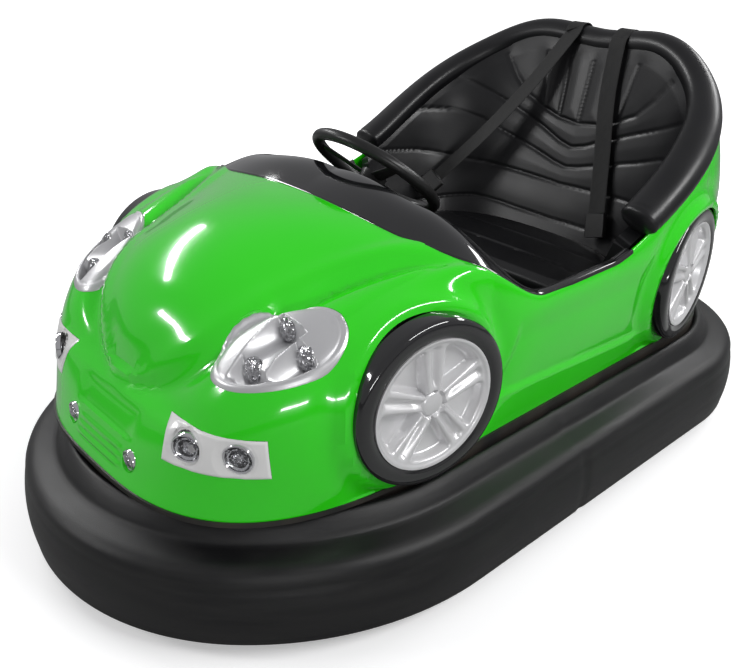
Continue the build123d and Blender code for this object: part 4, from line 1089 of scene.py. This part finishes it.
@dataclass
class Seat:
    """The upholstered seat: a stitched tub, its thick rolled edge and the cushion."""

    start: float = 117.0
    end: float = 243.0
    pad: float = 34.0
    roll_radius: float = 33.0
    seam_depth: float = 3.6
    puff: float = 2.0
    tub_foot: float = 406.0
    cushion_x: float = -345.0
    cushion_foot: float = 312.0
    cushion_seams: tuple[float, float] = (-300.0, -400.0)

    def tub_point(self, angle: float, t: float) -> Point:
        """Front of the seat back, from under the roll at 0 down to the cushion at 1."""
        rim, edge = FORM.rim_edge(angle) - 54, FORM.seat_edge(angle)
        r = blend(rim, edge, t) + 10 * sin(pi * min(1.0, max(0.0, t)))
        return r * cos(angle), r * sin(angle), blend(FORM.rim_z(angle) - 12, self.tub_foot, t)

    def seam_lines(self) -> list[list[tuple[float, float]]]:
        """Seams as (ray in degrees, height) points, the same on both sides of the middle."""
        half = [
            [(180, 692), (186, 700), (191, 718), (196, 744), (200, 790), (203, 840)],
            [(180, 630), (184, 640), (190, 668), (198, 702), (204, 727), (212, 762), (220, 778)],
            [(180, 578), (184, 585), (190, 603), (202, 640), (208, 664), (216, 686), (226, 690)],
            [(180, 532), (190, 537), (202, 545), (211, 552), (217, 563), (226, 580), (238, 592)],
            [(180, 440), (192, 444), (207, 456), (218, 446), (230, 440)],
            [(180, 692), (180, 850)],
            [(186, 700), (186.5, 860)],
            [(191, 718), (192.5, 860)],
        ]
        return half + [[(360 - d, z) for d, z in line] for line in half if line[-1][0] != 180]

    def tub_at(self, degrees_round: float, z: float) -> Vector:
        """Point of the tub's front on a ray at a height."""
        a = radians(degrees_round)
        top = FORM.rim_z(a) - 12
        return Vector(self.tub_point(a, (top - z) / (top - self.tub_foot)))

    def build_tub(self) -> None:
        """Build the seat back with sewn seams and puffed panels."""
        angles = np.radians(np.linspace(self.start, self.end, 260))
        rows = np.linspace(-0.09, 1.0, 130)
        grid = np.array([[self.tub_point(a, t) for t in rows] for a in angles])
        seams = []
        for line in self.seam_lines():
            for (d0, z0), (d1, z1) in zip(line, line[1:]):
                seams += [self.tub_at(blend(d0, d1, k / 16), blend(z0, z1, k / 16)) for k in range(17)]
        tree = KDTree(len(seams))
        for number, p in enumerate(seams):
            tree.insert(p, number)
        tree.balance()
        rise = np.zeros(grid.shape[:2])
        for i, column in enumerate(grid):
            for j, p in enumerate(column):
                d = tree.find(Vector(p))[2]
                rise[i, j] = self.puff * (1 - bell(d, 24)) - self.seam_depth * bell(d, 3.8)
        grid = grid + grid_normals(grid, False) * rise[..., None]
        tub = thick_grid("seat_back_upholstery", grid, self.pad, VINYL, sharp=70)
        seat_on(tub, ROOT, "seat_tub", slot="seat_vinyl")

    def build_roll(self) -> None:
        """Build the rolled edge with rounded ends and a piped seam."""
        n, m = 190, 40
        radius = self.roll_radius
        centres = [FORM.roll_point(a, radius) for a in np.radians(np.linspace(118, 242, n))]
        grid = np.zeros((n, m, 3))
        lengths = [0.0]
        for a, b in zip(centres, centres[1:]):
            lengths.append(lengths[-1] + (b - a).length)
        for i, c in enumerate(centres):
            run = (centres[min(n - 1, i + 1)] - centres[max(0, i - 1)]).normalized()
            out = Vector((c.x, c.y, 0)).normalized()
            out = (out - run * out.dot(run)).normalized()
            up = out.cross(run).normalized()
            if up.z < 0:
                up = -up
            end = min(lengths[i], lengths[-1] - lengths[i])
            back = ramp(-c.x, 420, 660)
            shrink = sqrt(max(0.02, 1 - max(0.0, 1 - end / 16) ** 2.4))
            crease = 1.8 * bell(end - 20, 2.2)
            for j in range(m):
                a = 2 * pi * j / m
                wide = radius * (blend(1.3, 1.05, back) if cos(a) > 0 else blend(1.5, 1.05, back))
                piping = 1.6 * bell((a - 3.6) * radius, 3.0)
                size = shrink * (1 + (piping - crease) / radius)
                grid[i, j] = c + out * wide * cos(a) * size + up * radius * sin(a) * size
        points = np.concatenate([grid.reshape(-1, 3), [grid[0].mean(0)], [grid[-1].mean(0)]])
        faces = sleeve_faces(n, m)
        for j in range(m):
            k = (j + 1) % m
            faces.append((n * m, k, j))
            faces.append((n * m + 1, (n - 1) * m + j, (n - 1) * m + k))
        roll = make_object("seat_roll_upholstery", points, faces, VINYL, 70)
        seat_on(roll, ROOT, "seat_roll", slot="seat_vinyl")

    def build_cushion(self) -> None:
        """Build the crowned cushion with two sewn channels."""
        front = -0.5 * FORM.seat_edge(radians(120))
        n, m = 150, 46
        turns = [2 * pi * i / n for i in range(n)]
        centre = Vector((self.cushion_x, 0))

        def reach(turn: float) -> float:
            direction = Vector((cos(turn), sin(turn)))

            def inside(r: float) -> bool:
                p = centre + direction * r
                return p.x < front and p.length < FORM.seat_edge(atan2(p.y, p.x)) - 4

            return furthest(inside, 400.0, 24)

        smooth = np.array([reach(a) for a in turns])
        for _ in range(3):
            smooth = (np.roll(smooth, 1) + smooth * 2 + np.roll(smooth, -1)) / 4
        grid = np.zeros((n, m, 3))
        for i, a in enumerate(turns):
            for j in range(m):
                k = j / (m - 1)
                if k < 0.8:
                    f, z = k / 0.8 * 0.93, 420.0
                    z += 5 * (1 - (k / 0.8) ** 2) - 6 * ramp(f, 0.82, 0.93)
                elif k < 0.9:
                    turn = (k - 0.8) / 0.1 * pi / 2
                    f, z = 0.93 + 0.07 * sin(turn), 414 - 22 * (1 - cos(turn))
                else:
                    f, z = 1.0, blend(392, self.cushion_foot, (k - 0.9) / 0.1)
                r = smooth[i] * max(f, 0.003)
                x, y = self.cushion_x + r * cos(a), r * sin(a)
                if k < 0.8:
                    for seam in self.cushion_seams:
                        z -= 5 * bell(x - seam, 4) * (1 - ramp(f, 0.8, 0.9))
                grid[i, j] = (x, y, z)
        points = np.concatenate([grid.reshape(-1, 3), [[self.cushion_x, 0, self.cushion_foot]]])
        faces = [f[::-1] for f in grid_faces(n, m, True)]
        faces += [(i * m + m - 1, (i + 1) % n * m + m - 1, n * m) for i in range(n)]
        cushion = make_object("seat_cushion_upholstery", points, faces, VINYL, 70)
        seat_on(cushion, ROOT, "seat_cushion", slot="seat_vinyl")

    def build(self) -> None:
        """Build all the upholstery."""
        self.build_tub()
        self.build_roll()
        self.build_cushion()


@dataclass
class Strap:
    """A flat harness strap over the seat's roll and down to its buckle, with sewn edges."""

    name: str
    points: tuple[Point, ...]
    width: float = 45.0
    thick: float = 2.6
    steps: int = 14

    def path(self) -> list[Vector]:
        """Smooth line through the strap's points."""
        pts = [Vector(p) for p in self.points]
        pts = [pts[0] * 2 - pts[1]] + pts + [pts[-1] * 2 - pts[-2]]
        line = []
        for p0, p1, p2, p3 in zip(pts, pts[1:], pts[2:], pts[3:]):
            for k in range(self.steps):
                t = k / self.steps
                line.append(0.5 * (2 * p1 + (p2 - p0) * t + (2 * p0 - 5 * p1 + 4 * p2 - p3) * t**2
                                   + (3 * p1 - p0 - 3 * p2 + p3) * t**3))
        return line + [pts[-2]]

    def build(self) -> None:
        """Build the strap as a band with a ribbed edge."""
        line = self.path()
        section = [(-1, 0.5), (-0.9, 1), (-0.8, 0.7), (0.8, 0.7), (0.9, 1), (1, 0.5), (1, -0.5), (-1, -0.5)]
        grid = []
        for i, p in enumerate(line):
            run = (line[min(len(line) - 1, i + 1)] - line[max(0, i - 1)]).normalized()
            face = Vector((-run.z, 0, run.x)) if i < self.steps * 5 else Vector((0.75, 0, 0.66))
            across = run.cross(face).normalized()
            out = across.cross(run).normalized()
            grid.append([p + across * x * self.width / 2 + out * y * self.thick / 2 for x, y in section])
        n, m = len(grid), len(section)
        faces = sleeve_faces(n, m, True)
        faces += [tuple(range(m)), tuple((n - 1) * m + j for j in range(m))[::-1]]
        band = make_object(f"harness_{self.name}_webbing", np.array(grid, float), faces, WEBBING, 60)
        seat_on(band, ROOT, f"harness_strap_{self.name}", slot="strap_webbing")


@dataclass
class RunningGear:
    """Finishes of the CAD nodes that are shown as they are."""

    finishes: dict[str, Finish] = field(default_factory=lambda: {
        "chassis_frame": CHASSIS, "seat_bench": CHASSIS, "drive_fork": CHASSIS, "rear_axle": STEEL,
        "floor_pan": FLOOR_PLATE, "battery_block": BATTERY, "steering_gearbox": CASTING, "drive_motor": CASTING,
        "steering_column": PLASTIC, "steering_wheel": PLASTIC, "steering_shaft": STEEL, "drive_hub": STEEL,
        "rear_hub_left": STEEL, "rear_hub_right": STEEL, "accelerator_pedal": STEEL, "drive_tyre": TYRE_RUBBER,
        "rear_tyre_left": TYRE_RUBBER, "rear_tyre_right": TYRE_RUBBER, "harness_buckle_left": PLASTIC,
        "harness_buckle_right": PLASTIC,
    })

    def dress(self) -> None:
        """Give each of these nodes its finish."""
        for node, finish in self.finishes.items():
            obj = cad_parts[node]
            finish_object(obj, finish)
            shade(obj, 35)


@dataclass
class Studio:
    """Pale floor, soft lights and the photograph's camera."""

    eye: Point = (1.3913, 1.3412, 1.2300)
    look: Point = (-0.6099, -0.6497, -0.4538)
    roll: float = -1.24
    lens: float = 41.13
    floor_half: float = 30.0
    lights: tuple[tuple[str, Point, Point, float, float, float], ...] = (
        ("key", (-0.7, 2.7, 2.7), (0.2, 0, 0.4), 2.6, 0.3, 66),
        ("top", (0.9, -2.9, 2.6), (0.2, 0, 0.4), 2.2, 0.2, 44),
        ("front", (3.2, -1.7, 2.0), (0.4, 0, 0.5), 0.9, 0.2, 24),
        ("back", (-2.8, 0.6, 2.2), (-0.3, 0, 0.5), 1.6, 0.4, 24),
        ("side", (2.6, 3.4, 0.9), (0.2, 0.3, 0.4), 1.6, 0.15, 20),
    )

    def add_light(self, name: str, place: Point, aim: Point, size: float, narrow: float, power: float) -> None:
        """Add one soft area light."""
        lamp = bpy.data.lights.new(name, "AREA")
        lamp.shape = "RECTANGLE"
        lamp.size = size
        lamp.size_y = narrow
        lamp.energy = power
        obj = bpy.data.objects.new(name, lamp)
        obj.location = place
        obj.rotation_mode = "QUATERNION"
        obj.rotation_quaternion = (Vector(aim) - Vector(place)).to_track_quat("-Z", "Y")
        bpy.context.scene.collection.objects.link(obj)

    def add_floor(self) -> None:
        """Add the floor: white to the camera, greyer to everything that reflects it."""
        mesh = bpy.data.meshes.new("studio_floor")
        s = self.floor_half
        mesh.from_pydata([(-s, -s, 0), (s, -s, 0), (s, s, 0), (-s, s, 0)], [], [(0, 1, 2, 3)])
        obj = bpy.data.objects.new("studio_floor", mesh)
        bpy.context.scene.collection.objects.link(obj)
        paint = bpy.data.materials.new("pale_floor")
        graph = NodeGraph.of(paint)
        shader = graph.tree.nodes["Principled BSDF"]
        graph.fill(shader, {"Roughness": 0.9, "Emission Color": (1, 1, 1, 1)})
        place = graph.add("TexCoord")
        reach = graph.add("VectorMath", operation="LENGTH")
        glow = graph.add("MapRange", {"From Min": 0.9, "From Max": 2.4, "To Min": 0.35, "To Max": 1.0})
        graph.link(place, "Object", reach, 0)
        graph.link(reach, "Value", glow, "Value")
        seen = graph.add("LightPath")
        only = graph.add("Math", operation="MULTIPLY")
        graph.link(glow, "Result", only, 0)
        graph.link(seen, "Is Camera Ray", only, 1)
        graph.link(only, "Value", shader, "Emission Strength")
        tone = graph.add("Mix", {"A": (0.35, 0.35, 0.35, 1), "B": (0.9, 0.9, 0.9, 1)}, data_type="RGBA")
        graph.link(seen, "Is Camera Ray", tone, "Factor")
        graph.link(tone, "Result", shader, "Base Color")
        mesh.materials.append(paint)

    @staticmethod
    def add_world() -> None:
        """Add the grey world, white to the camera."""
        world = bpy.data.worlds.new("studio")
        graph = NodeGraph.of(world)
        path = graph.add("LightPath")
        mix = graph.add("Mix", {"A": (0.34, 0.34, 0.35, 1), "B": (1, 1, 1, 1)}, data_type="RGBA")
        graph.link(path, "Is Camera Ray", mix, "Factor")
        graph.link(mix, "Result", graph.tree.nodes["Background"], "Color")
        bpy.context.scene.world = world

    def add_camera(self) -> None:
        """Add the camera at the photograph's viewing angle."""
        camera = bpy.data.cameras.new("photo_camera")
        camera.lens = self.lens
        camera.sensor_width = 36
        obj = bpy.data.objects.new("photo_camera", camera)
        bpy.context.scene.collection.objects.link(obj)
        forward = Vector(self.look).normalized()
        right = forward.cross(UP).normalized()
        down = forward.cross(right)
        r = radians(self.roll)
        tilted = right * cos(r) + down * sin(r)
        up = tilted.cross(forward)
        obj.matrix_world = Matrix.Translation(self.eye) @ Matrix((tilted, up, -forward)).transposed().to_4x4()
        bpy.context.scene.camera = obj

    def build(self) -> None:
        """Build the floor, world, lights and camera."""
        bpy.context.scene.view_settings.view_transform = "Standard"
        self.add_floor()
        self.add_world()
        for light in self.lights:
            self.add_light(*light)
        self.add_camera()


def build_small_lamps(body: BodyShell, side: Side) -> None:
    """Build one side's lamp beside the slats and its tail lamp."""
    names = {"grille": ("grille_lamps",), "tail": ("tail_lamps",)} if side is Side.LEFT else {}
    grille = facing_ahead(body.press_to(GRILLE_LAMP_AT, AHEAD) - AHEAD * 3).mirrored(side)
    Lamp(f"grille_lamp_{side.label}", grille, GRILLE_LAMP_RADIUS, DIAMOND, 9).build(*names.get("grille", ()))
    tail = tail_lamp_frame()
    tail = tail.moved(body.press_to(tail.origin, tail.out) - tail.out * 2).mirrored(side)
    Lamp(f"tail_lamp_{side.label}", tail, TAIL_LAMP_RADIUS, RED_LENS).build(*names.get("tail", ()))


def main() -> None:
    """Build the dressed car in order and report each piece."""
    logging.basicConfig(level=logging.INFO, format="%(name)s: %(message)s")
    body = BodyShell()
    body.build()
    LOG.info("body shell built")
    BumperRing().build()
    Cowl().build()
    LOG.info("bumper and cowl built")
    for side in Side:
        HeadlampPod(body).build(side)
        FogPanel(body).build(side)
        for place in WHEEL_PLACES:
            RoadWheel(place).build(side)
        build_small_lamps(body, side)
    LOG.info("lamps and road wheels built")
    Seat().build()
    LOG.info("seat built")
    Strap("right", ((-725, -84, 893), (-719, -84, 922), (-702, -84, 937), (-680, -83, 939), (-660, -82, 930),
                    (-642, -82, 908), (-560, -137, 780), (-470, -207, 652), (-375, -290, 524))).build()
    Strap("left", ((-725, 66, 891), (-719, 66, 920), (-702, 66, 935), (-680, 66, 937), (-659, 67, 926),
                   (-640, 68, 900), (-602, 84, 770), (-560, 120, 628), (-502, 163, 503))).build()
    RunningGear().dress()
    Studio().build()
    LOG.info("finishes, lights and camera set")


if __name__ == "__main__":
    main()
